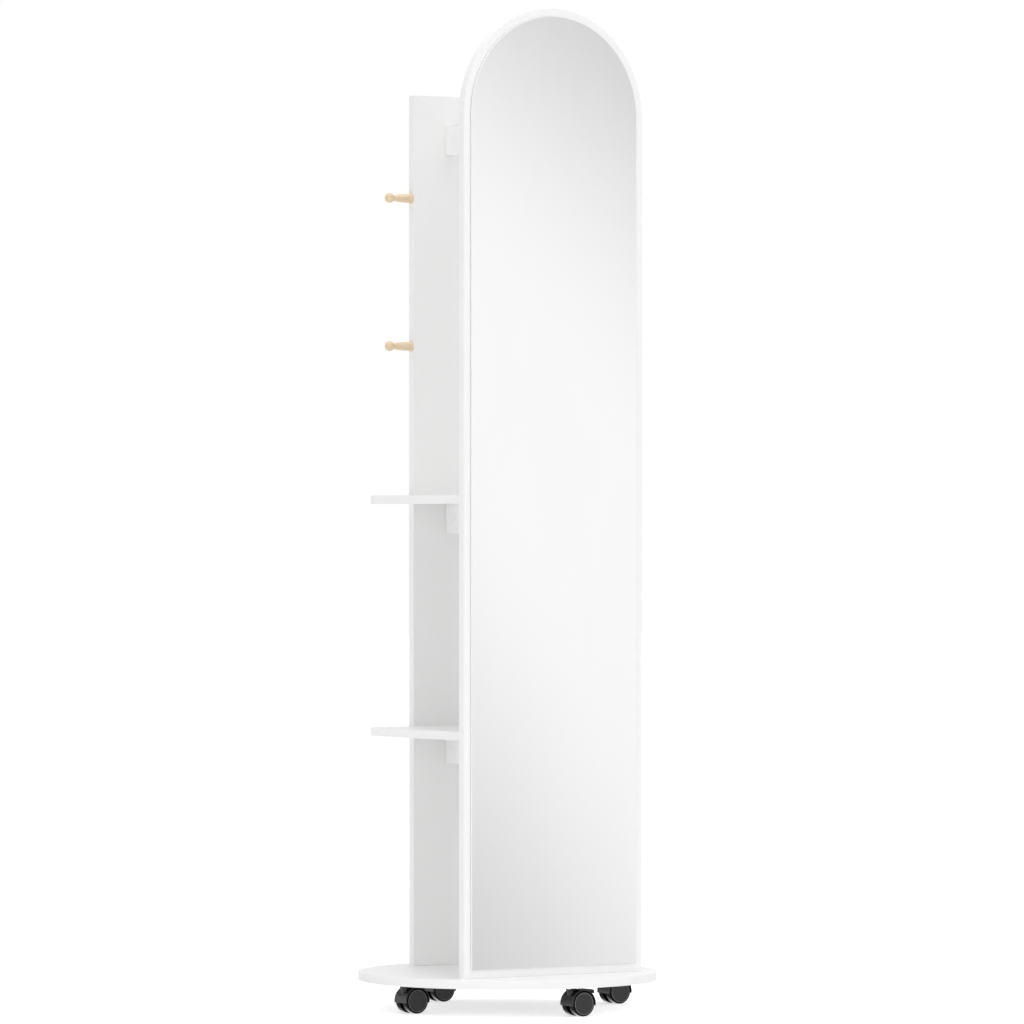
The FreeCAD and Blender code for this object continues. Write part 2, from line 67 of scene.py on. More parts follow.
Colour = tuple[float, float, float]
Point2 = tuple[float, float]
Range = tuple[float, float]
Point3 = tuple[float, float, float]
Ring = list[Vector]
Socket = bpy.types.NodeSocket
Input = Socket | float | Sequence[float]
Material = bpy.types.Material
Node = bpy.types.Node
Object = bpy.types.Object
Verts = list[bmesh.types.BMVert]


class Slot(Enum):
    """The record's finishes that the new pieces take."""

    LAMINATE = "white_laminate"
    MIRROR = "mirror_silver"
    ZINC = "zinc_steel"
    CAST_ZINC = "zinc_cast"
    DOWEL = "dowel_wood"
    BEECH = "beech"
    PLASTIC = "black_plastic"
    WHEEL = "black_wheel"


class CasterPlace(Enum):
    """Where a caster stands under the base; braked ones carry a lever."""

    FRONT = "front"
    RIGHT = "right"
    BACK = "back"
    LEFT = "left"

    @property
    def braked(self) -> bool:
        """Whether this caster has a brake lever."""
        return self in (CasterPlace.FRONT, CasterPlace.BACK)


class Wheel(Enum):
    """The two wheels of a caster, one at each end of its axle."""

    A = "wheel_a"
    B = "wheel_b"

    @property
    def outward(self) -> Vector:
        """Direction in which the wheel's outer face looks."""
        return Y_AXIS if self is Wheel.B else -Y_AXIS


class Operation(Enum):
    """How a node works one number out of two."""

    ADD = "ADD"
    MULTIPLY = "MULTIPLY"
    MAXIMUM = "MAXIMUM"


class Curve(Enum):
    """How a mapped value runs from its start to its end."""

    STRAIGHT = "LINEAR"
    SOFT = "SMOOTHSTEP"
    SOFTEST = "SMOOTHERSTEP"


class NodeTree:
    """A tree of shader nodes in the making."""

    def __init__(self, tree: bpy.types.NodeTree) -> None:
        """Start from the nodes that the tree has."""
        self.nodes = tree.nodes
        self.links = tree.links

    def add(self, kind: str, inputs: dict[str | int, Input] | None = None, **settings: str) -> Node:
        """Add a node.

        Args:
            kind: the type of node.
            inputs: what its inputs get, by name or number; a socket is linked, anything else is set.
            settings: the node's own choices.

        Returns:
            The new node.
        """
        node = self.nodes.new("ShaderNode" + kind)
        for name, choice in settings.items():
            setattr(node, name, choice)
        for key, value in (inputs or {}).items():
            if isinstance(value, Socket):
                self.links.new(value, node.inputs[key])
            else:
                node.inputs[key].default_value = value
        return node

    def mapped(self, value: Socket, start: float, end: float, low: float, high: float,
               curve: Curve = Curve.STRAIGHT) -> Socket:
        """Map start to end onto low to high."""
        inputs = {"Value": value, "From Min": start, "From Max": end, "To Min": low, "To Max": high}
        return self.add("MapRange", inputs, interpolation_type=curve.value).outputs["Result"]

    def combined(self, operation: Operation, first: Input, second: Input) -> Socket:
        """Work one number out of two."""
        return self.add("Math", {0: first, 1: second}, operation=operation.value).outputs[0]

    def blended(self, share: Socket, first: Socket, second: Socket) -> Socket:
        """Mix two shaders; a share of 1 is the second alone."""
        return self.add("MixShader", {0: share, 1: first, 2: second}).outputs[0]


class Surface(NodeTree):
    """One Principled shader in the making, and the nodes that feed it."""

    def __init__(self, name: str, fixed: dict[str, float]) -> None:
        """Start a material.

        Args:
            name: the material's name.
            fixed: shader values that are the same all over the surface.
        """
        self.material: Material = bpy.data.materials.new(name)
        self.material.use_nodes = True
        super().__init__(self.material.node_tree)
        self.shader: Node = self.nodes["Principled BSDF"]
        for socket, value in fixed.items():
            self.shader.inputs[socket].default_value = value
        self.place: Socket = self.add("TexCoord").outputs["Object"]

    def noise(self, scale: float, detail: float, stretch: Sequence[float] = (1, 1, 1),
              distortion: float = 0.0) -> Socket:
        """Cloudy noise from 0 to 1.

        Args:
            scale: clouds per metre.
            detail: how many finer layers it has.
            stretch: factors on X, Y and Z; under 1 draws the clouds out along that axis.
            distortion: how far the clouds are warped.

        Returns:
            The noise's value.
        """
        where = self.add("Mapping", {"Vector": self.place, "Scale": stretch}).outputs["Vector"]
        inputs = {"Vector": where, "Scale": scale, "Detail": detail, "Distortion": distortion}
        return self.add("TexNoise", inputs).outputs[0]

    def low_angle(self) -> Socket:
        """From 0 where the surface is seen square on to 1 where it is seen along itself."""
        return self.add("LayerWeight").outputs["Facing"]

    def spread(self, value: Socket, low: float, high: float) -> Socket:
        """Map the middle of a noise onto low to high."""
        return self.mapped(value, *NOISE_MIDDLE, low, high)

    def two_tone(self, value: Socket, stops: Range, low: Colour, high: Colour) -> Socket:
        """Turn a value into a colour between two.

        Args:
            value: what picks the colour, from 0 to 1.
            stops: the values at which the two colours lie.
            low: the colour up to the first stop.
            high: the colour from the second.

        Returns:
            The colour.
        """
        node = self.add("ValToRGB", {"Fac": value})
        for element, position, colour in zip(node.color_ramp.elements, stops, (low, high)):
            element.position = position
            element.color = (*colour, 1.0)
        return node.outputs["Color"]

    def times(self, first: Socket, second: Socket) -> Socket:
        """Multiply two colours.

        Args:
            first: one colour.
            second: the other.

        Returns:
            Their product.
        """
        whole, colour_a, colour_b = 0, 6, 7  # the mix node's factor and its two colours
        inputs = {whole: 1.0, colour_a: first, colour_b: second}
        made = self.add("Mix", inputs, data_type="RGBA", blend_type="MULTIPLY")
        return next(socket for socket in made.outputs if socket.type == "RGBA")

    def feed(self, socket: str, source: Socket) -> None:
        """Let a node drive one of the shader's sockets."""
        self.links.new(source, self.shader.inputs[socket])

    def relief(self, height: Socket, depth: float) -> None:
        """Emboss the surface by a height map that is depth metres deep."""
        bump = self.add("Bump", {"Height": height, "Strength": 1.0, "Distance": depth})
        self.feed("Normal", bump.outputs["Normal"])


@dataclass(frozen=True)
class Finish:
    """A finish whose material is built once."""

    name: str

    def paint(self) -> Surface:
        """Build the finish's own shader."""
        raise NotImplementedError

    @cache
    def material(self) -> Material:
        """Give the finish's material, always the same one."""
        return self.paint().material


@dataclass(frozen=True)
class Mottled(Finish):
    """A surface with mottled colour, uneven gloss and a fine relief."""

    light: Colour
    dark: Colour
    gloss: Range  # roughness from and to
    mottle: float  # colour patches per metre
    grain: float  # bumps of the relief per metre
    depth: float  # of the relief, in metres
    metallic: float = 0.0
    specular: float = 0.5
    coat: float = 0.0

    def paint(self) -> Surface:
        """Build the shader.

        Returns:
            The surface.
        """
        surface = Surface(self.name, {
            "Metallic": self.metallic, "Specular IOR Level": self.specular, "Coat Weight": self.coat})
        patches = surface.noise(self.mottle, PATCH_DETAIL)
        surface.feed("Base Color", surface.two_tone(patches, PATCHES, self.dark, self.light))
        wiped = surface.noise(self.mottle * WIPES_PER_PATCH, WIPE_DETAIL)
        surface.feed("Roughness", surface.spread(wiped, *self.gloss))
        surface.relief(surface.noise(self.grain, GRAIN_DETAIL), self.depth)
        return surface


@dataclass(frozen=True)
class BlackTread(Finish):
    """Black tyre plastic, dark when seen square on and glossy at a low angle."""

    name: str = "black_tread"
    light: Colour = (0.006, 0.006, 0.006)
    dark: Colour = (0.003, 0.003, 0.003)
    gloss: Range = (0.30, 0.42)
    shine: Range = (0.54, 0.78)  # low angles between which the shine sets in
    specular: float = 0.06
    coat_gloss: float = 0.05
    coat_ior: float = 3.2
    scuffs: float = 140.0  # per metre
    grain: float = 1600.0
    depth: float = 0.000012

    def paint(self) -> Surface:
        """Build the shader.

        Returns:
            The surface.
        """
        surface = Surface(self.name, {
            "Specular IOR Level": self.specular, "Coat Roughness": self.coat_gloss,
            "Coat IOR": self.coat_ior})
        scuffs = surface.noise(self.scuffs, PATCH_DETAIL)
        surface.feed("Base Color", surface.two_tone(scuffs, PATCHES, self.dark, self.light))
        surface.feed("Roughness", surface.spread(scuffs, *self.gloss))
        surface.feed("Coat Weight", surface.mapped(surface.low_angle(), *self.shine, 0.0, 1.0))
        surface.relief(surface.noise(self.grain, GRAIN_DETAIL), self.depth)
        return surface


@dataclass(frozen=True)
class TurnedBeech(Finish):
    """Pale beech under clear lacquer, with its grain along the peg and short dark flecks."""

    name: str = "turned_beech"
    pale: Colour = (0.86, 0.70, 0.50)
    warm: Colour = (0.77, 0.575, 0.37)
    fleck: Colour = (0.87, 0.81, 0.74)
    plain: Colour = (1.0, 1.0, 1.0)
    gloss: Range = (0.36, 0.50)
    lacquer: float = 0.18  # weight of its coat
    lacquer_gloss: float = 0.22
    rings: float = 150.0  # growth rings per metre across the grain
    ring_stops: Range = (0.32, 0.62)  # where in the noise the two woods lie
    flecks: float = 900.0
    fleck_stops: Range = (0.30, 0.46)
    along: float = 0.09  # how slowly the wood changes along its grain
    warp: float = 0.6  # of the growth rings
    depth: float = 0.00004

    def paint(self) -> Surface:
        """Build the shader.

        Returns:
            The surface.
        """
        surface = Surface(self.name, {"Coat Weight": self.lacquer, "Coat Roughness": self.lacquer_gloss})
        grain = (self.along, 1.0, 1.0)
        rings = surface.noise(self.rings, WOOD_DETAIL, grain, self.warp)
        wood = surface.two_tone(rings, self.ring_stops, self.warm, self.pale)
        flecks = surface.noise(self.flecks, GRAIN_DETAIL, grain)
        marks = surface.two_tone(flecks, self.fleck_stops, self.fleck, self.plain)
        surface.feed("Base Color", surface.times(wood, marks))
        surface.feed("Roughness", surface.spread(flecks, *self.gloss))
        surface.relief(flecks, self.depth)
        return surface


@dataclass(frozen=True)
class SilveredGlass(Finish):
    """The silvered face of a float glass mirror, with the faintest haze of wiping."""

    name: str = "silvered_glass"
    bright: Colour = (0.958, 0.959, 0.957)
    hazy: Colour = (0.949, 0.950, 0.949)
    gloss: Range = (0.004, 0.012)
    haze: float = 7.0  # wiping marks per metre
    haze_stops: Range = (0.35, 0.6)
    wipe: Point3 = (1.0, 1.0, 0.35)  # the marks run up and down
    warp: float = 0.8

    def paint(self) -> Surface:
        """Build the shader.

        Returns:
            The surface.
        """
        surface = Surface(self.name, {"Metallic": 1.0})
        haze = surface.noise(self.haze, WOOD_DETAIL, self.wipe, self.warp)
        surface.feed("Base Color", surface.two_tone(haze, self.haze_stops, self.hazy, self.bright))
        surface.feed("Roughness", surface.spread(haze, *self.gloss))
        return surface


LAMINATE = Mottled("white_melamine_face", (0.945, 0.945, 0.942), (0.935, 0.935, 0.932), (0.36, 0.46),
                   4.0, 1500.0, 0.00002, specular=0.35)
EDGE_BAND = Mottled("white_edge_band", (0.945, 0.946, 0.945), (0.932, 0.934, 0.932), (0.32, 0.42),
                    14.0, 2600.0, 0.000012, specular=0.35)
SEAM = Mottled("edge_band_seam", (0.66, 0.66, 0.65), (0.55, 0.55, 0.54), (0.6, 0.75),
               60.0, 3000.0, 0.00001)
GLASS_EDGE = Mottled("polished_glass_edge", (0.95, 0.965, 0.96), (0.93, 0.95, 0.945), (0.12, 0.22),
                     40.0, 2000.0, 0.000006, coat=0.6)
BACKING = Mottled("mirror_backing_paint", (0.93, 0.93, 0.92), (0.90, 0.90, 0.89), (0.5, 0.65),
                  30.0, 900.0, 0.00002)
FOAM = Mottled("foam_tape_white", (0.90, 0.90, 0.88), (0.82, 0.82, 0.80), (0.8, 0.95),
               500.0, 1800.0, 0.00008)
ZINC = Mottled("bright_zinc", (0.76, 0.76, 0.77), (0.62, 0.63, 0.65), (0.24, 0.42),
               220.0, 2600.0, 0.000008, metallic=1.0)
CAST_ZINC = Mottled("lacquered_cast_zinc", (0.93, 0.93, 0.93), (0.90, 0.90, 0.90), (0.36, 0.52),
                    160.0, 1700.0, 0.00002, specular=0.4)
DOWEL_WOOD = Mottled("fluted_dowel_wood", (0.74, 0.58, 0.38), (0.62, 0.46, 0.29), (0.55, 0.7),
                     260.0, 1400.0, 0.00005)
PLASTIC = Mottled("black_nylon_satin", (0.026, 0.0245, 0.025), (0.021, 0.020, 0.0205), (0.28, 0.38),
                  90.0, 2400.0, 0.000035)
DISC = Mottled("black_wheel_disc", (0.021, 0.0195, 0.020), (0.016, 0.015, 0.0155), (0.34, 0.46),
               90.0, 2400.0, 0.00003)
# Painted highlight: the raised rim round the wheel disc is coloured far lighter than the disc, for the
# light that its bead catches.
RIM_HIGHLIGHT = Mottled("disc_rim_painted_highlight", (0.160, 0.156, 0.158), (0.135, 0.131, 0.133), (0.30, 0.42),
              90.0, 2400.0, 0.00002)
TREAD = BlackTread()
# Painted shade: the groove between tread and disc is coloured near-black and barely reflective, darker
# than the disc, for the shade inside it.
SHADOW = Mottled("wheel_groove_painted_shade", (0.006, 0.006, 0.006), (0.003, 0.003, 0.003), (0.6, 0.75),
                 120.0, 1600.0, 0.000012, specular=0.08)
STEEL = Mottled("black_coated_steel", (0.012, 0.012, 0.012), (0.007, 0.007, 0.007), (0.40, 0.52),
                140.0, 1900.0, 0.00003, specular=0.15)
BEECH = TurnedBeech()
SILVER = SilveredGlass()
BOARD_FINISHES = (LAMINATE, EDGE_BAND, SEAM)
PANE_FINISHES = (SILVER, GLASS_EDGE, BACKING)
WHEEL_FINISHES = (DISC, TREAD, SHADOW, RIM_HIGHLIGHT)


class Shape:
    """A mesh in the making, in the part's frame."""

    def __init__(self) -> None:
        """Start with no faces."""
        self.mesh = bmesh.new()

    def points(self, ring: Ring) -> Verts:
        """Place the points of one ring."""
        return [self.mesh.verts.new(point) for point in ring]

    def join(self, first: Verts, second: Verts, paint: int = 0) -> None:
        """Close the strip between two rings; a ring of one point is a tip.

        Args:
            first: the points of one ring.
            second: the points of the next.
            paint: the strip's finish number.
        """
        count = max(len(first), len(second))
        for step in range(count):
            after = (step + 1) % count
            corners = [first[step % len(first)], first[after % len(first)],
                       second[after % len(second)], second[step % len(second)]]
            corners = list(dict.fromkeys(corners))
            self.mesh.faces.new(corners).material_index = paint

    def cap(self, ring: Verts, paint: int = 0) -> None:
        """Close a ring with one flat face."""
        self.mesh.faces.new(ring).material_index = paint

    def fill(self, rings: Sequence[Verts]) -> None:
        """Close a flat face between an outer ring and the rings of its holes, in the first finish.

        Args:
            rings: the rings' points, in one plane.
        """
        edges = []
        for ring in rings:
            for first, second in zip(ring, ring[1:] + ring[:1]):
                found = self.mesh.edges.get((first, second))
                edges.append(found or self.mesh.edges.new((first, second)))
        made = bmesh.ops.triangle_fill(self.mesh, use_beauty=True, edges=edges)
        for face in made["geom"]:
            if isinstance(face, bmesh.types.BMFace):
                face.material_index = 0

    def skin(self, rings: Sequence[Ring], paints: Sequence[int] = ()) -> list[Verts]:
        """Join rings in turn into one skin.

        Args:
            rings: rings of points, in order along the piece.
            paints: the finish number of the strip after each ring; 0 where the list ends.

        Returns:
            The rings' points in the mesh.
        """
        placed = [self.points(ring) for ring in rings]
        for index, (first, second) in enumerate(zip(placed, placed[1:])):
            self.join(first, second, paints[index] if index < len(paints) else 0)
        return placed


@dataclass(frozen=True)
class Piece:
    """Where a made piece belongs, and the nodes that it stands for."""

    name: str
    body: str
    slot: Slot
    stands_for: tuple[str, ...] = ()
    crease: float = 32.0  # degrees; edges sharper than this stay sharp

    def settle(self, shape: Shape, finishes: Sequence[Finish]) -> None:
        """Turn a shape into the object's own piece.

        Args:
            shape: the finished shape.
            finishes: the finishes that the shape's faces number.
        """
        bmesh.ops.remove_doubles(shape.mesh, verts=shape.mesh.verts[:], dist=SAME_POINT)
        bmesh.ops.recalc_face_normals(shape.mesh, faces=shape.mesh.faces[:])
        data = bpy.data.meshes.new(self.name)
        shape.mesh.to_mesh(data)
        shape.mesh.free()
        data.shade_smooth()
        data.set_sharp_from_angle(angle=math.radians(self.crease))
        for finish in finishes:
            data.materials.append(finish.material())
        made = stand_in_scene(self.name, data)
        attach(made, self.body)
        if self.stands_for:
            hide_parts(*self.stands_for)
        LOG.info("%s: %d faces on body %s", self.name, len(data.polygons), self.body)


def stand_in_scene(name: str, data: bpy.types.ID) -> Object:
    """Put an object with this mesh, lamp or camera in the scene.

    Args:
        name: of the object.
        data: its mesh, lamp or camera.

    Returns:
        The object.
    """
    made = bpy.data.objects.new(name, data)
    bpy.context.scene.collection.objects.link(made)
    return made


def dress(node: str, finish: Finish) -> None:
    """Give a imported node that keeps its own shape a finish.

    Args:
        node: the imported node.
        finish: its finish.
    """
    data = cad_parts[node].data
    data.materials.clear()
    data.materials.append(finish.material())
    LOG.info("%s: dressed in %s", node, finish.name)


def solid_boxes(node: str) -> list[tuple[Vector, Vector]]:
    """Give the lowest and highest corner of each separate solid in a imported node.

    Args:
        node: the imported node.

    Returns:
        The pairs of corners, in order of place.
    """
    mesh = bmesh.new()
    mesh.from_mesh(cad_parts[node].data)
    bmesh.ops.remove_doubles(mesh, verts=mesh.verts[:], dist=SAME_POINT)
    left = set(mesh.verts)
    boxes = []
    while left:
        waiting = [left.pop()]
        found = []
        while waiting:
            vert = waiting.pop()
            found.append(vert.co.copy())
            for edge in vert.link_edges:
                other = edge.other_vert(vert)
                if other in left:
                    left.remove(other)
                    waiting.append(other)
        low = Vector([min(point[axis] for point in found) for axis in range(3)])
        high = Vector([max(point[axis] for point in found) for axis in range(3)])
        boxes.append((low, high))
    mesh.free()
    return sorted(boxes, key=lambda box: tuple(round(value, 5) for value in (*box[0], *box[1])))


def arc(centre: Point2, radius: float, start: float, end: float, steps: int) -> list[Point2]:
    """Points along an arc, from one angle in degrees to another, both ends included."""
    angles = [math.radians(start + (end - start) * step / steps) for step in range(steps + 1)]
    return [(centre[0] + radius * math.cos(a), centre[1] + radius * math.sin(a)) for a in angles]


def square_to(axis: Vector) -> tuple[Vector, Vector]:
    """Give two directions that are square to an axis and to each other.

    Args:
        axis: a direction.

    Returns:
        The two directions.
    """
    helper = Z_AXIS if abs(axis.z) < UPRIGHT else X_AXIS
    first = axis.cross(helper).normalized()
    return first, axis.cross(first)


def turned(profile: Sequence[Point2], origin: Vector, axis: Vector, count: int = 48,
           shave: Callable[[float, float], float] | None = None) -> list[Ring]:
    """Rings of a piece turned about an axis.

    Args:
        profile: distance along the axis and radius of each ring, in metres.
        origin: where the distance along the axis is zero.
        axis: direction of the axis.
        count: points in a ring.
        shave: what to take off the radius at a distance and an angle, if anything.

    Returns:
        The rings; a radius of zero gives a ring of one point.
    """
    first, second = square_to(axis)
    rings = []
    for along, radius in profile:
        if radius < SAME_POINT:
            rings.append([origin + axis * along])
            continue
        ring = []
        for step in range(count):
            angle = FULL_TURN * step / count
            reach = radius - (shave(along, angle) if shave else 0.0)
            side = first * math.cos(angle) + second * math.sin(angle)
            ring.append(origin + axis * along + side * reach)
        rings.append(ring)
    return rings


@dataclass(frozen=True)
class Outline:
    """A closed outline, counterclockwise, some of whose edges are left raw."""

    points: tuple[Point2, ...]
    raw: frozenset[int] = frozenset()  # edges without a band, by the number of their first point

    def banded(self, index: int) -> bool:
        """Whether both edges that meet at a point carry a band."""
        return index not in self.raw and (index - 1) % len(self.points) not in self.raw

    def inset(self, distance: float) -> list[Point2]:
        """Move every banded edge inwards by a distance; raw edges stay.

        Args:
            distance: in metres.

        Returns:
            The moved points.
        """
        moved = []
        count = len(self.points)
        for index, (x, y) in enumerate(self.points):
            sides = []
            for start in ((index - 1) % count, index):
                (x0, y0), (x1, y1) = self.points[start], self.points[(start + 1) % count]
                length = math.hypot(x1 - x0, y1 - y0)
                moves = 0.0 if start in self.raw else distance
                sides.append(((y0 - y1) / length, (x1 - x0) / length, moves))
            (ax, ay, a), (bx, by, b) = sides
            turn = ax * by - ay * bx
            if abs(turn) < SAME_POINT:
                moved.append((x + ax * a, y + ay * a))
            else:
                moved.append((x + (a * by - b * ay) / turn, y + (b * ax - a * bx) / turn))
        return moved


def arched(low: Vector, high: Vector, steps: int) -> list[Point2]:
    """Outline of an upright sheet with a half-round top."""
    half = (high.x - low.x) / 2
    return [(-half, low.z), (half, low.z), *arc((0.0, high.z - half), half, 0.0, 180.0, steps)]


@dataclass(frozen=True)
class Pocket:
    """A round blind hole in the first face of a board."""

    centre: Point2
    radius: float
    depth: float


@dataclass
class Board:
    """A melamine board with a rounded, glued-on edge band round its outline."""

    piece: Piece
    outline: Outline
    origin: Vector  # where the outline's zero lies, on the board's first face
    right: Vector  # direction of the outline's first number
    up: Vector  # direction of its second number
    thickness: float
    pockets: list[Pocket] = field(default_factory=list)
    arris: float = 0.5 * MM  # rounding of the edge
    seam: float = 0.14 * MM  # width of the glue line inside the rounding
    seam_depth: float = 0.06 * MM
    arris_steps: int = 5
    pocket_steps: int = 40

    def _place(self, point: Point2, height: float) -> Vector:
        """Place a point of the outline at a height over the first face."""
        inward = self.right.cross(self.up)
        return self.origin + self.right * point[0] + self.up * point[1] + inward * height

    def _ring(self, inset: float, height: float, sunk: float = 0.0) -> Ring:
        """One ring round the board.

        Args:
            inset: how far inside the outline the ring lies.
            height: over the first face.
            sunk: what is added to the height between banded edges.

        Returns:
            The ring.
        """
        points = self.outline.inset(inset)
        return [
            self._place(point, height + (sunk if self.outline.banded(index) else 0.0))
            for index, point in enumerate(points)
        ]

    def _edge(self) -> list[tuple[float, float, float, int]]:
        """Work out the section of the board's edge, from its first face to the middle.

        Returns:
            Inset, height, sinking and finish number of each ring.
        """
        band, seam = BOARD_FINISHES.index(EDGE_BAND), BOARD_FINISHES.index(SEAM)
        rings = [(self.arris + self.seam, 0.0, 0.0, seam),
                 (self.arris + self.seam / 2, 0.0, self.seam_depth, seam)]
        for step in range(self.arris_steps + 1):
            angle = math.radians(90.0 * step / self.arris_steps)
            inset, height = 1 - math.sin(angle), 1 - math.cos(angle)
            rings.append((self.arris * inset, self.arris * height, 0.0, band))
        return rings

    def build(self) -> None:
        """Build the board, its seams and its pockets."""
        shape = Shape()
        edge = self._edge()
        rings = [self._ring(inset, height, sunk) for inset, height, sunk, _ in edge]
        far = [self._ring(inset, self.thickness - height, -sunk) for inset, height, sunk, _ in edge]
        near_paints = [paint for *_, paint in edge]
        far_paints = [paint for *_, paint in edge[:-1]]
        placed = shape.skin(rings + far[::-1], near_paints + far_paints[::-1])
        holes = []
        for pocket in self.pockets:
            circle = arc(pocket.centre, pocket.radius, 0.0, 360.0, self.pocket_steps)[:-1]
            mouth = shape.points([self._place(point, 0.0) for point in circle])
            floor = shape.points([self._place(point, pocket.depth) for point in circle])
            shape.join(mouth, floor)
            shape.cap(floor)
            holes.append(mouth)
        shape.fill([placed[0], *holes])
        shape.cap(placed[-1])
        self.piece.settle(shape, BOARD_FINISHES)


@dataclass
class Carcass:
    """The white boards: round base, arched mirror board, back board, shelves and rails."""

    body: str = "stand"
    arch_steps: int = 128
    base_steps: int = 288
    corner_steps: int = 28
    shelf_corner: float = 45.0 * MM
    notch_gap: float = 0.25 * MM
    pocket_play: float = 0.1 * MM  # between a cam and the wall of its pocket
    rails: tuple[str, ...] = ("rail_top", "rail_upper", "rail_lower")
    shelves: tuple[str, ...] = ("shelf_upper", "shelf_lower")

    def _cam_pockets(self, low: Vector, high: Vector, across: int, up: int) -> list[Pocket]:
        """Find the pockets for the cams that lie inside a board's box.

        Args:
            low: the board's lowest corner.
            high: its highest corner.
            across: number of one axis of its face, 0 for X.
            up: number of the other.

        Returns:
            The pockets.
        """
        pockets = []
        for start, end in solid_boxes("cam_locks"):
            middle = (start + end) / 2
            if all(low[axis] - SAME_POINT < middle[axis] < high[axis] + SAME_POINT for axis in range(3)):
                radius = (end[across] - start[across]) / 2 + self.pocket_play
                depth = min(end[axis] - start[axis] for axis in range(3))
                pockets.append(Pocket((middle[across], middle[up]), radius, depth))
        return pockets

    def _board(self, node: str, points: Sequence[Point2], across: int, up: int,
               raw: frozenset[int] = frozenset(), pocketed: bool = False) -> None:
        """Build the board that stands for a packed one.

        Args:
            node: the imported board.
            points: its outline, counterclockwise as seen from its second face.
            across: number of the axis that the outline's first numbers run along, 0 for X.
            up: number of the axis of its second numbers.
            raw: the outline's edges that carry no band.
            pocketed: whether cams sit in its first face.
        """
        low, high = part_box(node)
        right, top = AXES[across], AXES[up]
        through = 3 - across - up  # the axis that neither runs along
        inward = right.cross(top)
        origin = Vector()
        origin[through] = low[through] if inward[through] > 0 else high[through]
        pockets = self._cam_pockets(low, high, across, up) if pocketed else []
        piece = Piece(node + "_board", self.body, Slot.LAMINATE, (node,))
        outline = Outline(tuple(points), raw)
        Board(piece, outline, origin, right, top, high[through] - low[through], pockets).build()

    def base(self) -> None:
        """The round base."""
        low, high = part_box("base_disc")
        radius = min(high.x, high.y, -low.x, -low.y)
        self._board("base_disc", arc((0.0, 0.0), radius, 0.0, 360.0, self.base_steps)[:-1], 0, 1)

    def uprights(self) -> None:
        """The mirror board with its half-round top, and the back board."""
        self._board("mirror_board", arched(*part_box("mirror_board"), self.arch_steps), 0, 2)
        low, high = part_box("back_board")
        half = (high.x - low.x) / 2
        self._board("back_board", [(-half, low.z), (half, low.z), (half, high.z), (-half, high.z)], 0, 2)

    def shelf(self, node: str) -> None:
        """A shelf with round rear corners and a square notch round the back board.

        Args:
            node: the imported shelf.
        """
        low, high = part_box(node)
        back_low, back_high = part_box("back_board")
        corner, steps = self.shelf_corner, self.corner_steps
        notch = back_high.x + self.notch_gap
        points = [(low.x, low.y), (high.x, low.y)]
        points += arc((high.x - corner, high.y - corner), corner, 0.0, 90.0, steps)
        raw = frozenset(range(len(points), len(points) + 3))
        points += [(notch, high.y), (notch, back_low.y), (-notch, back_low.y), (-notch, high.y)]
        points += arc((low.x + corner, high.y - corner), corner, 90.0, 180.0, steps)
        self._board(node, points, 0, 1, raw, pocketed=True)

    def rail(self, node: str) -> None:
        """A rail on edge, between the upright boards.

        Args:
            node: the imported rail.
        """
        low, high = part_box(node)
        points = ((low.y, low.z), (high.y, low.z), (high.y, high.z), (low.y, high.z))
        self._board(node, points, 1, 2, pocketed=True)

    def build(self) -> None:
        """Build all the boards."""
        self.base()
        self.uprights()
        for node in self.shelves:
            self.shelf(node)
        for node in self.rails:
            self.rail(node)


@dataclass
class MirrorPane:
    """The arched mirror glass: silvered face, polished edge and painted back, on foam tape."""

    body: str = "stand"
    arris: float = 0.4 * MM
    back_arris: float = 0.1 * MM
    arch_steps: int = 128

    def build(self) -> None:
        """Build the glass and dress its tape."""
        low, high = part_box("mirror_glass")
        outline = Outline(tuple(arched(low, high, self.arch_steps)))
        depths = ((self.back_arris, high.y), (0.0, high.y - self.back_arris), (0.0, low.y + self.arris),
                  (self.arris, low.y))
        shape = Shape()
        rings = [[Vector((x, y, z)) for x, z in outline.inset(inset)] for inset, y in depths]
        placed = shape.skin(rings, [PANE_FINISHES.index(GLASS_EDGE)] * len(rings))
        shape.cap(placed[0], PANE_FINISHES.index(BACKING))
        shape.cap(placed[-1])
        piece = Piece("mirror_glass_pane", self.body, Slot.MIRROR, ("mirror_glass",))
        piece.settle(shape, PANE_FINISHES)
        dress("mirror_tape", FOAM)


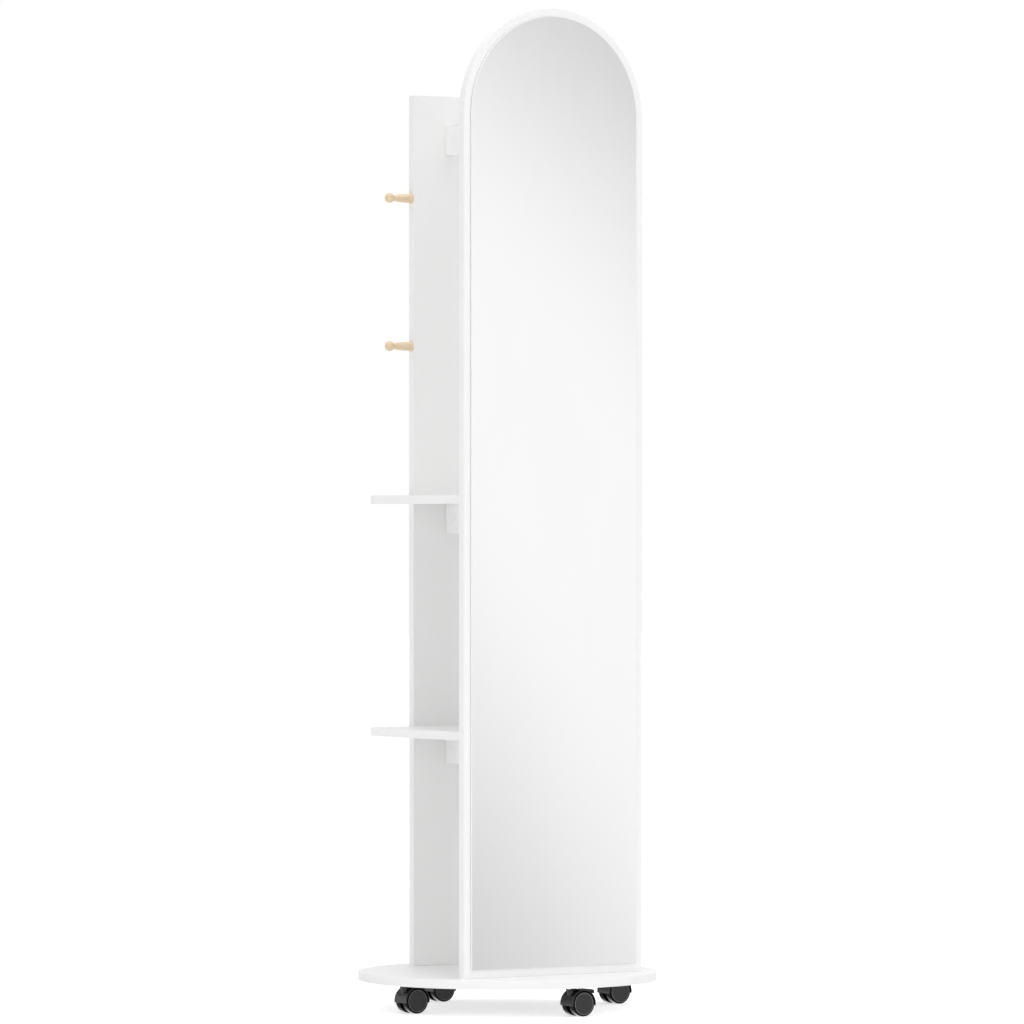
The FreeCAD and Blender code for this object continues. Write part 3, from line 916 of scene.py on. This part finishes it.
@dataclass
class CoatPeg:
    """A turned beech peg: collar, tapered body, drawn-in neck and ball."""

    node: str
    body: str = "stand"
    ball: float = 8.75 * MM  # radius of the ball
    ball_foot: float = 5.65 * MM  # radius at which the ball runs out into the neck
    collar_thick: float = 3.0 * MM
    collar_round: float = 1.2 * MM
    collar_foot: float = 0.3 * MM  # rounding of the collar at the board
    collar_steps: int = 6
    ball_steps: int = 26
    sides: int = 72
    turning: tuple[Point2, ...] = (  # from collar to ball: distance and radius in millimetres
        (3.0, 8.2), (3.5, 8.05), (9.0, 7.76), (15.0, 7.44), (21.0, 7.12), (25.5, 6.88), (28.6, 6.62),
        (30.6, 6.18), (32.3, 5.68), (34.0, 5.38), (35.6, 5.31), (36.8, 5.38), (37.7, 5.5))

    def profile(self, length: float, collar: float) -> list[Point2]:
        """Distance from the board and radius, from the collar to the tip of the ball.

        Args:
            length: from the board to the tip.
            collar: radius of the collar.

        Returns:
            The profile, in metres.
        """
        edge, foot = self.collar_round, self.collar_foot
        middle = length - self.ball
        start = 180.0 - math.degrees(math.asin(self.ball_foot / self.ball))
        return [
            (0.0, 0.0), (0.0, collar - foot), (foot, collar),
            *arc((self.collar_thick - edge, collar - edge), edge, 90.0, 0.0, self.collar_steps),
            *((x * MM, y * MM) for x, y in self.turning),
            *arc((middle, 0.0), self.ball, start, 0.0, self.ball_steps)[:-1], (length, 0.0),
        ]

    def build(self) -> None:
        """Build the peg on the side of the back board that its node is on."""
        low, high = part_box(self.node)
        out = X_AXIS if low.x > 0 else -X_AXIS
        root = Vector((low.x if low.x > 0 else high.x, (low.y + high.y) / 2, (low.z + high.z) / 2))
        shape = Shape()
        profile = self.profile(high.x - low.x, (high.z - low.z) / 2)
        shape.skin(turned(profile, root, out, self.sides))
        Piece(self.node + "_turned", self.body, Slot.BEECH, (self.node,)).settle(shape, (BEECH,))


@dataclass(frozen=True)
class CrossRecess:
    """A cross-shaped driver recess."""

    arm: float
    width: float
    depth: float
    floor_share: float = 0.55  # size of the recess's floor against its mouth

    def _cross(self, share: float) -> list[Point2]:
        """Twelve corners of the cross, counterclockwise.

        Args:
            share: length of its arms against the mouth's.

        Returns:
            The corners.
        """
        arm, half = self.arm * share, self.width / 2
        corners = [(arm, -half), (arm, half), (half, half)]
        for _ in range(3):
            corners += [(-y, x) for x, y in corners[-3:]]
        return corners

    def cut(self, shape: Shape, rim: Verts, centre: Vector, into: Vector) -> None:
        """Close a round face inside its rim with this recess in the middle.

        Args:
            shape: the shape that the face belongs to.
            rim: the points of the face's rim.
            centre: of the face.
            into: direction of the recess.
        """
        first, second = square_to(into)
        mouth = shape.points([centre + first * x + second * y for x, y in self._cross(1.0)])
        deep = centre + into * self.depth
        floor = shape.points([deep + first * x + second * y for x, y in self._cross(self.floor_share)])
        shape.fill([rim, mouth])
        shape.join(mouth, floor)
        shape.cap(floor)


@dataclass(frozen=True)
class Thread:
    """A helical thread along part of a shank."""

    start: float
    end: float
    pitch: float
    depth: float
    per_turn: int = 6

    def stations(self) -> list[float]:
        """Distances at which the threaded part needs a ring."""
        count = max(2, round((self.end - self.start) / self.pitch * self.per_turn))
        return [self.start + (self.end - self.start) * step / count for step in range(count + 1)]

    def shave(self, along: float, angle: float) -> float:
        """Depth of the thread's groove at a distance and an angle.

        Args:
            along: distance along the shank.
            angle: round it.

        Returns:
            The depth, in metres.
        """
        if not self.start < along < self.end:
            return 0.0
        phase = (along / self.pitch - angle / FULL_TURN) % 1.0
        return self.depth * (1.0 - abs(2.0 * phase - 1.0))


@dataclass(frozen=True)
class WoodScrew:
    """A kind of wood screw that points up; its sizes follow from its head's radius."""

    node: str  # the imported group
    recess: CrossRecess
    pitch: float
    shank: float  # radius, as a share of the head's
    dome: float = 0.0  # width of a domed head's slope; a countersunk one has none
    dome_height: float = 1.5 * MM
    cone: float = 0.8  # height of a countersunk head, as a share of its radius
    dome_rings: Point2 = (0.25 * MM, 0.8 * MM)  # heights of the slope's middle and of its end
    rounding: float = 0.3 * MM
    bare: float = 0.2  # share of the shank without a thread
    thread_depth: float = 0.26  # as a share of the shank's radius, like the next three
    thread_end: float = 3.0  # before the tip
    point: float = 1.2  # length of the point
    point_foot: float = 0.62  # radius of the point where it starts

    def head(self, radius: float) -> list[Point2]:
        """Work out the head.

        Args:
            radius: of the head.

        Returns:
            The rings' heights and radii; the last ring is on the shank.
        """
        edge = radius - self.rounding
        if self.dome:
            middle, full = self.dome_rings
            return [(0.0, radius - self.dome), (middle, edge), (full, radius),
                    (self.dome_height, radius), (self.dome_height, radius * self.shank)]
        return [(0.0, edge), (self.rounding, radius), (radius * self.cone, radius * self.shank)]

    def add_to(self, shape: Shape, low: Vector, high: Vector) -> None:
        """Add the screw that fills a box.

        Args:
            shape: the shape of the whole group.
            low: the lowest corner of the fitting's box.
            high: its highest corner.
        """
        foot = Vector(((low.x + high.x) / 2, (low.y + high.y) / 2, low.z))
        top = self.head((high.x - low.x) / 2)
        (rise, shank), length = top[-1], high.z - low.z
        thread = Thread(rise + (length - rise) * self.bare, length - self.thread_end * shank, self.pitch,
                        shank * self.thread_depth)
        profile = [*top, *((along, shank) for along in thread.stations()),
                   (length - self.point * shank, shank * self.point_foot), (length, 0.0)]
        placed = shape.skin(turned(profile, foot, Z_AXIS, THREAD_SIDES, thread.shave))
        self.recess.cut(shape, placed[0], foot, Z_AXIS)


@dataclass
class Fittings:
    """The screws, cams, cam bolts and dowels that hold the boards together."""

    body: str = "stand"
    screws: tuple[WoodScrew, ...] = (
        WoodScrew("base_screws", CrossRecess(2.9 * MM, 1.0 * MM, 2.2 * MM), 2.2 * MM, 0.5),
        WoodScrew("caster_screws", CrossRecess(1.7 * MM, 0.65 * MM, 0.9 * MM), 1.3 * MM, 0.53, 0.9 * MM),
    )
    thread_depth: float = 0.24  # of the coarse threads, as a share of the radius
    peg_pitch: float = 1.6 * MM
    peg_end: float = 2.4 * MM  # tapered end of a peg screw
    peg_taper: Point2 = (0.3, 0.95)  # radii of that end, as shares
    bolt_pitch: float = 1.75 * MM
    bolt_thread: float = 10.5 * MM  # length of the thread in the upright board
    bolt_head: float = 3.0 * MM  # length of the head
    bolt_lead: float = 1.0 * MM  # tapered start of the thread
    bolt_taper: Point2 = (0.6, 0.9)  # radii of that start, as shares
    bolt_runout: float = 0.2 * MM  # plain part after the thread, beyond as much as its start
    bolt_end: tuple[Point2, ...] = (  # from the head's foot: distance and radius in millimetres
        (-2.5, 2.5), (-2.0, 1.9), (-0.4, 1.9), (0.0, 3.0), (0.4, 3.3), (2.3, 3.3), (3.0, 2.6),
        (3.0, 0.0))
    cam_recess: CrossRecess = CrossRecess(3.0 * MM, 1.0 * MM, 0.3 * MM, 0.8)
    cam_face: float = 5.6 * MM  # radius up to which the face is one flat
    cam_rim: tuple[Point2, ...] = (  # of its raised rim: depth, and distance inside the cam's radius
        (0.2, 1.2), (0.05, 1.0), (0.0, 0.3), (0.3, 0.0))
    flutes: int = 14
    flute_depth: float = 0.22 * MM
    flute_points: int = 4  # points round a dowel for each of its flutes
    chamfer: float = 1.0 * MM  # of the dowels' ends

    def _group(self, node: str, add: Callable[[Shape, Vector, Vector], None], slot: Slot = Slot.ZINC,
               finish: Finish = ZINC) -> None:
        """Build one piece that stands for a packed group.

        Args:
            node: the group.
            add: adds the fitting that fills a box, from its lowest and highest corner.
            slot: the record's finish.
            finish: the finish of the piece.
        """
        shape = Shape()
        for low, high in solid_boxes(node):
            add(shape, low, high)
        Piece(node + "_set", self.body, slot, (node,)).settle(shape, (finish,))

    def peg_screw(self, shape: Shape, low: Vector, high: Vector) -> None:
        """Add a double-ended screw between a peg and the back board, with a coarse thread.

        Args:
            shape: the shape of the whole group.
            low: the lowest corner of the fitting's box.
            high: its highest corner.
        """
        end, radius, length = self.peg_end, (high.z - low.z) / 2, high.x - low.x
        start = Vector((low.x, (low.y + high.y) / 2, (low.z + high.z) / 2))
        thread = Thread(end, length - end, self.peg_pitch, radius * self.thread_depth)
        tip, foot = (radius * share for share in self.peg_taper)
        profile = [(0.0, 0.0), (0.0, tip), (end, foot),
                   *((along, radius) for along in thread.stations()), (length, tip), (length, 0.0)]
        shape.skin(turned(profile, start, X_AXIS, THREAD_SIDES, thread.shave))

    def cam_bolt(self, shape: Shape, low: Vector, high: Vector) -> None:
        """Add a bolt with a thread in the upright board and a waisted head in the cam.

        Args:
            shape: the shape of the whole group.
            low: the lowest corner of the fitting's box.
            high: its highest corner.
        """
        rail_low, rail_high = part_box("rail_top")
        radius, length = (high.z - low.z) / 2, high.y - low.y
        forward = (low.y + high.y) / 2 < (rail_low.y + rail_high.y) / 2
        start = Vector(((low.x + high.x) / 2, low.y if forward else high.y, (low.z + high.z) / 2))
        lead, threaded = self.bolt_lead, self.bolt_thread
        last = threaded - lead - self.bolt_runout
        thread = Thread(lead, last, self.bolt_pitch, radius * self.thread_depth)
        neck = length - self.bolt_head
        end = [(neck + along * MM, reach * MM) for along, reach in self.bolt_end]
        tip, foot = (radius * share for share in self.bolt_taper)
        profile = [(0.0, 0.0), (0.0, tip), (lead, foot),
                   *((along, radius) for along in thread.stations()),
                   (threaded, radius), (threaded, end[0][1]), *end]
        into = Y_AXIS if forward else -Y_AXIS
        shape.skin(turned(profile, start, into, THREAD_SIDES, thread.shave))

    def cam(self, shape: Shape, low: Vector, high: Vector) -> None:
        """Add a cam lock with a raised rim and a driver cross in its face.

        Args:
            shape: the shape of the whole group.
            low: the lowest corner of the fitting's box.
            high: its highest corner.
        """
        size, face = high - low, (low + high) / 2
        through = 0 if size.x < size.z else 2
        face[through] = low[through]
        radius, depth, into = size.y / 2, min(size), AXES[through]
        rim = [(deep * MM, radius - inside * MM) for deep, inside in self.cam_rim]
        sunk = rim[0][0]
        profile = [(sunk, self.cam_face), *rim, (depth, radius), (depth, 0.0)]
        placed = shape.skin(turned(profile, face, into))
        self.cam_recess.cut(shape, placed[0], face + into * sunk, into)

    def dowel(self, shape: Shape, low: Vector, high: Vector) -> None:
        """Add a fluted wooden dowel with chamfered ends.

        Args:
            shape: the shape of the whole group.
            low: the lowest corner of the fitting's box.
            high: its highest corner.
        """
        size, chamfer = high - low, self.chamfer
        along_axis = 2 if size.z > size.y else 1
        length, radius = size[along_axis], size.x / 2
        start = (low + high) / 2
        start[along_axis] -= length / 2
        profile = [(0.0, 0.0), (0.0, radius - chamfer), (chamfer, radius),
                   (length - chamfer, radius), (length, radius - chamfer), (length, 0.0)]

        def flute(along: float, angle: float) -> float:
            """Depth of the flutes, which run out at the ends."""
            inside = chamfer / 2 < along < length - chamfer / 2
            return self.flute_depth * (0.5 - 0.5 * math.cos(self.flutes * angle)) if inside else 0.0

        shape.skin(turned(profile, start, AXES[along_axis], self.flutes * self.flute_points, flute))

    def build(self) -> None:
        """Build all the fittings."""
        for screw in self.screws:
            self._group(screw.node, screw.add_to)
        self._group("peg_screws", self.peg_screw)
        self._group("cam_bolts", self.cam_bolt)
        self._group("cam_locks", self.cam, Slot.CAST_ZINC, CAST_ZINC)
        self._group("dowels", self.dowel, Slot.DOWEL, DOWEL_WOOD)


@dataclass
class TwinWheelCaster:
    """A twin-wheel caster: packed hood, plate and pins, with fine wheels and a ribbed brake lever."""

    place: CasterPlace
    shoulder: float = 2.4 * MM  # rounding of the tread's outer edge
    inner_round: float = 0.8 * MM  # rounding of its inner edge
    axle: float = 2.55 * MM  # radius of the hole for the axle
    bore: float = 9.4 * MM  # depth of that hole
    dish: float = 6.0 * MM  # radius of the shallow dish in the inner face
    dish_depth: float = 0.6 * MM
    disc_rim: float = 19.3 * MM  # radius of the raised rim round the disc
    groove_width: float = 1.0 * MM
    groove_lip: float = 0.3 * MM  # drop from the shoulder into the groove
    # In millimetres: depth under the outer face, and distance outside the disc's rim.
    groove: tuple[Point2, ...] = ((1.5, 0.9), (1.5, 0.05), (0.3, 0.0))
    rim: tuple[Point2, ...] = ((0.05, -0.25), (0.05, -0.9), (0.35, -1.35))
    disc: tuple[Point2, ...] = ((0.45, 0.5), (0.47, 0.0))  # that depth, and share of the rim's radius
    rib_places: tuple[float, ...] = (0.42, 0.60, 0.78)  # along the lever's arm, from the pin to the tip
    rib_radius: float = 0.55 * MM
    rib_end: Point2 = (0.3 * MM, 0.6)  # length of a rib's tapered end, and its radius as a share
    rib_margin: float = 2.0 * MM  # beside a rib
    lever_fall: float = 1.6 * MM  # of the lever's top, from the pin to the tip
    inner_steps: int = 5
    shoulder_steps: int = 8
    sides: int = 96
    rib_sides: int = 20

    def _name(self, part: str) -> str:
        """The node name of one of this caster's parts."""
        return f"caster_{self.place.value}_{part}"

    def wheel(self, which: Wheel) -> None:
        """One wheel: glossy tread, round shoulder, a groove in painted shade, a rim in painted highlight
        and a disc with a shallow recess.

        Args:
            which: of the caster's two wheels.
        """
        node = self._name(which.value)
        low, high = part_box(node)
        out = which.outward
        inner = Vector(((low.x + high.x) / 2, low.y if out.y > 0 else high.y, (low.z + high.z) / 2))
        radius = (high.z - low.z) / 2
        width = high.y - low.y
        face = radius - self.shoulder
        outside = self.disc_rim + self.groove_width
        sine = (outside - face) / self.shoulder
        shoulder_start = width - self.shoulder * (1 - math.sqrt(1 - sine ** 2))
        inside = [(self.bore, 0.0), (self.bore, self.axle), (self.dish_depth, self.axle),
                  (self.dish_depth, self.dish), (0.0, self.dish)]
        bend = self.inner_round
        inner_edge = arc((bend, radius - bend), bend, 180.0, 90.0, self.inner_steps)
        turn = math.degrees(math.asin(sine))
        outer_edge = arc((width - self.shoulder, face), self.shoulder, 90.0, turn, self.shoulder_steps)
        groove, rim = (
            [(width - depth * MM, self.disc_rim + past * MM) for depth, past in table]
            for table in (self.groove, self.rim))
        groove.insert(0, (shoulder_start - self.groove_lip, outside))
        disc = [(width - depth * MM, self.disc_rim * share) for depth, share in self.disc]
        # The groove takes painted shade and the rim a painted highlight.
        runs = ((inside, DISC), (inner_edge, TREAD), (outer_edge, TREAD), (groove, SHADOW),
                (rim, RIM_HIGHLIGHT), (disc, DISC))
        profile = [point for run, _ in runs for point in run]
        paints = [WHEEL_FINISHES.index(finish) for run, finish in runs for _ in run][1:]
        shape = Shape()
        shape.skin(turned(profile, inner, out, self.sides), paints)
        Piece(node + "_moulded", node, Slot.WHEEL, (node,)).settle(shape, WHEEL_FINISHES)

    def lever_ribs(self) -> None:
        """Grip ribs across the top of the brake lever."""
        node = self._name("lever")
        low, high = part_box(node)
        pin_low, pin_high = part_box(self._name("lever_pin"))
        pin = (pin_low.x + pin_high.x) / 2
        half = (high.y - low.y) / 2 - self.rib_margin
        middle = (low.y + high.y) / 2
        shape = Shape()
        taper, tip = self.rib_end
        ends = [(0.0, 0.0), (0.0, self.rib_radius * tip), (taper, self.rib_radius)]
        profile = ends + [(2 * half - along, radius) for along, radius in reversed(ends)]
        for share in self.rib_places:
            x, z = pin + (high.x - pin) * share, high.z - self.lever_fall * share
            start = Vector((x, middle - half, z))
            shape.skin(turned(profile, start, Y_AXIS, self.rib_sides))
        Piece(node + "_ribs", node, Slot.PLASTIC).settle(shape, (PLASTIC,))

    def build(self) -> None:
        """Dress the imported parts, and build the wheels and the lever's ribs."""
        for part, finish in (("hood", PLASTIC), ("plate", STEEL), ("kingpin", ZINC), ("axle", ZINC)):
            dress(self._name(part), finish)
        for which in Wheel:
            self.wheel(which)
        if self.place.braked:
            dress(self._name("lever"), PLASTIC)
            dress(self._name("lever_pin"), ZINC)
            self.lever_ribs()


def stage_sheet(name: str, corners: Sequence[Point3], surface: Callable[[NodeTree], Socket]) -> Object:
    """Add a flat sheet that isn't part of the object.

    Args:
        name: of the sheet and of its material.
        corners: its corners in turn, in metres.
        surface: adds the sheet's shader to a tree, and gives the shader's socket.

    Returns:
        The sheet.
    """
    shape = Shape()
    shape.cap(shape.points([Vector(corner) for corner in corners]))
    data = bpy.data.meshes.new(name)
    shape.mesh.to_mesh(data)
    shape.mesh.free()
    material = bpy.data.materials.new(name)
    material.use_nodes = True
    tree = NodeTree(material.node_tree)
    tree.nodes.remove(tree.nodes["Principled BSDF"])
    tree.links.new(surface(tree), tree.nodes["Material Output"].inputs["Surface"])
    data.materials.append(material)
    sheet = stand_in_scene(name, data)
    return sheet


@dataclass(frozen=True)
class Softbox:
    """A large square lamp that faces the stand."""

    name: str
    place: Point3
    side: float  # metres
    watts: float
    aim: Point3 = (0.0, 0.0, 0.85)

    def build(self) -> None:
        """Hang the lamp and point it."""
        data = bpy.data.lights.new(self.name, "AREA")
        data.size = self.side
        data.energy = self.watts
        lamp = stand_in_scene(self.name, data)
        lamp.location = self.place
        lamp.rotation_euler = (Vector(self.aim) - Vector(self.place)).to_track_quat("-Z", "Y").to_euler()
        lamp.visible_glossy = False
        LOG.info("%s: %.0f W", self.name, self.watts)


@dataclass(frozen=True)
class ViewCamera:
    """The level camera at the photograph's angle."""

    azimuth: float = -33.715  # degrees; 0 looks along +Y
    focal_pixels: float = 6716.6
    picture_pixels: float = 1024.0
    sensor: float = 36.0  # millimetres
    distance: float = 11.467  # to the mirror board's near corner, along the view
    side_step: float = 0.0823  # from that corner to the middle of the view
    height: float = 0.864
    view_end: float = 100.0

    def build(self) -> None:
        """Place the camera and make it the scene's own."""
        angle = math.radians(self.azimuth)
        forward = Vector((-math.sin(angle), math.cos(angle), 0))
        right = Vector((math.cos(angle), math.sin(angle), 0))
        low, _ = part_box("mirror_board")
        corner = Vector((low.x, low.y, self.height))
        data = bpy.data.cameras.new("view_camera")
        data.sensor_width = self.sensor
        data.lens = self.sensor * self.focal_pixels / self.picture_pixels
        data.clip_end = self.view_end
        camera = stand_in_scene("view_camera", data)
        camera.location = corner + right * self.side_step - forward * self.distance
        camera.rotation_euler = (math.radians(90.0), 0.0, angle)
        bpy.context.scene.camera = camera
        LOG.info("view_camera: %.1f mm lens", data.lens)


@dataclass(frozen=True)
class GlowCard:
    """A card that glows, though it is no lamp, and paints a softly shaded reflection into the mirror
    from the camera's side; only reflections see it.
    """

    reach: float = 0.70  # in front of the glass
    lift: float = 0.004  # over the floor
    margin: float = 0.10  # plain border round what the mirror shows
    fade: float = 0.22  # width of the border's fade
    glow: float = 0.986  # strength between the two shades
    foot_shade: float = 0.65  # share of the glow that is left at the low end, and at the high one
    top_shade: float = 0.59
    foot_fade: Range = (-0.59, 0.90)  # height plus leaning width over which the low shade runs out
    top_fade: Range = (1.07, 2.30)  # and over which the high one sets in
    foot_lean: float = 1.31  # how much the width counts at the floor, and at the top
    top_lean: float = 0.53

    def build(self, camera: ViewCamera) -> None:
        """Stand the card where the camera's view meets it after the mirror.

        Args:
            camera: the camera whose view it serves.
        """
        low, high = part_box("mirror_glass")
        shift = self.reach * math.tan(math.radians(-camera.azimuth))
        border = self.margin + self.fade
        left, right = low.x + shift - border, high.x + shift + border
        floor, top = self.lift, high.z + border
        y = low.y - self.reach

        def shaded(tree: NodeTree) -> Socket:
            """The card's glow, shaded at both ends of its slant and faded at three of its edges.

            Args:
                tree: the card's shader nodes.

            Returns:
                The shader.
            """
            parts = tree.add("SeparateXYZ", {0: tree.add("TexCoord").outputs["Object"]}).outputs
            across, up = parts["X"], parts["Z"]
            lean = tree.mapped(up, 0.0, top, self.foot_lean, self.top_lean)
            beside = tree.mapped(across, shift - 1.0, shift + 1.0, -1.0, 1.0)  # metres from the middle
            width = tree.combined(Operation.MULTIPLY, beside, lean)
            slant = tree.combined(Operation.ADD, width, up)
            dark = self.glow * self.foot_shade
            foot = tree.mapped(slant, *self.foot_fade, dark, self.glow, Curve.SOFTEST)
            head = tree.mapped(slant, *self.top_fade, 1.0, self.top_shade, Curve.SOFTEST)
            strength = tree.combined(Operation.MULTIPLY, foot, head)
            # The card's own glow, which the mirror shows as a painted reflection.
            lit = tree.add("Emission", {"Strength": strength}).outputs[0]
            edges = [tree.mapped(value, edge, edge + fade, 0.0, 1.0, Curve.SOFT)
                     for value, edge, fade in ((across, left, self.fade), (across, right, -self.fade),
                                               (up, top, -self.fade))]
            sides = tree.combined(Operation.MULTIPLY, edges[0], edges[1])
            shown = tree.combined(Operation.MULTIPLY, sides, edges[2])
            return tree.blended(shown, tree.add("BsdfTransparent").outputs[0], lit)

        corners = ((left, y, floor), (right, y, floor), (right, y, top), (left, y, top))
        card = stage_sheet("glow_card", corners, shaded)
        for rays in ("camera", "diffuse", "transmission", "volume_scatter", "shadow"):
            setattr(card, "visible_" + rays, False)
        LOG.info("glow_card: %.2f by %.2f m", right - left, top - floor)


@dataclass
class Studio:
    """A plain pale floor, soft light from all round and a white background."""

    floor_half: float = 30.0
    floor_bounce: float = 0.92  # share of light that the floor sends back
    floor_shown: float = 0.90  # the same, as the camera sees it
    floor_glow: float = 0.60  # keeps the floor white where no shadow falls
    dome: float = 0.105  # strength of the light from all round
    from_front: float = 0.67  # what the dome has more in front, and above
    from_top: float = 0.91
    lamps: tuple[Softbox, ...] = (
        Softbox("high_softbox", (0.0, -1.0, 9.0), 5.0, 180.0),
        Softbox("side_softbox", (-4.0, 0.05, 0.75), 0.6, 7.5, (0.0, 0.05, 0.75)),
        Softbox("low_softbox", (-3.5, -1.6, 0.25), 0.5, 6.9, (0.0, 0.0, 0.5)),
    )

    def _by_ray(self, tree: NodeTree, lit: Socket, eye: Socket, white: Socket) -> Socket:
        """Choose a shader by the kind of ray.

        Args:
            tree: the nodes that it adds to.
            lit: for the rays that light the stand.
            eye: for the camera.
            white: for reflected and transmitted rays.

        Returns:
            The shader.
        """
        rays = tree.add("LightPath").outputs
        passed_on = tree.combined(Operation.MAXIMUM, rays["Is Glossy Ray"], rays["Is Transmission Ray"])
        return tree.blended(passed_on, tree.blended(rays["Is Camera Ray"], lit, eye), white)

    def _floor_surface(self, tree: NodeTree) -> Socket:
        """The floor's shader: it keeps a soft shadow and is white elsewhere.

        Args:
            tree: the floor's nodes.

        Returns:
            The shader.
        """
        plain, shown = (tree.add("BsdfDiffuse", {"Color": (tone, tone, tone, 1.0)}).outputs[0]
                        for tone in (self.floor_bounce, self.floor_shown))
        glow = tree.add("Emission", {"Strength": self.floor_glow}).outputs[0]
        both = tree.add("AddShader", {0: shown, 1: glow}).outputs[0]
        return self._by_ray(tree, plain, both, tree.add("Emission").outputs[0])

    def world(self) -> None:
        """White for the camera and in reflections, and a soft light that is stronger from some sides."""
        world = bpy.data.worlds.new("studio")
        bpy.context.scene.world = world
        world.use_nodes = True
        tree = NodeTree(world.node_tree)
        tree.nodes.clear()
        parts = tree.add("SeparateXYZ", {0: tree.add("TexCoord").outputs["Generated"]}).outputs
        strength: Input = self.dome
        for axis, far, gain in (("Y", -1.0, self.from_front), ("Z", 1.0, self.from_top)):
            more = tree.mapped(parts[axis], 0.0, far, 0.0, gain)
            strength = tree.combined(Operation.ADD, strength, more)
        plain = (1.0, 1.0, 1.0, 1.0)
        light, white = (tree.add("Background", {"Color": plain, "Strength": level}).outputs[0]
                        for level in (strength, 1.0))
        tree.add("OutputWorld", {"Surface": self._by_ray(tree, light, white, white)})

    def build(self) -> None:
        """Set up the floor, the light, the card and the camera."""
        bpy.context.scene.view_settings.view_transform = "Standard"
        camera = ViewCamera()
        camera.build()
        half = self.floor_half
        corners = ((-half, -half, 0), (half, -half, 0), (half, half, 0), (-half, half, 0))
        stage_sheet("studio_floor", corners, self._floor_surface)
        self.world()
        for lamp in self.lamps:
            lamp.build()
        GlowCard().build(camera)


def build_stand() -> None:
    """Build the object's pieces in order."""
    Carcass().build()
    MirrorPane().build()
    for side in ("left", "right"):
        for level in ("upper", "lower"):
            CoatPeg(f"peg_{side}_{level}").build()
    Fittings().build()
    for place in CasterPlace:
        TwinWheelCaster(place).build()


def main() -> None:
    """Build the stand, then the studio, and note the sizes."""
    logging.basicConfig(level=logging.INFO, format="%(name)s: %(message)s")
    build_stand()
    Studio().build()


if __name__ == "__main__":
    main()
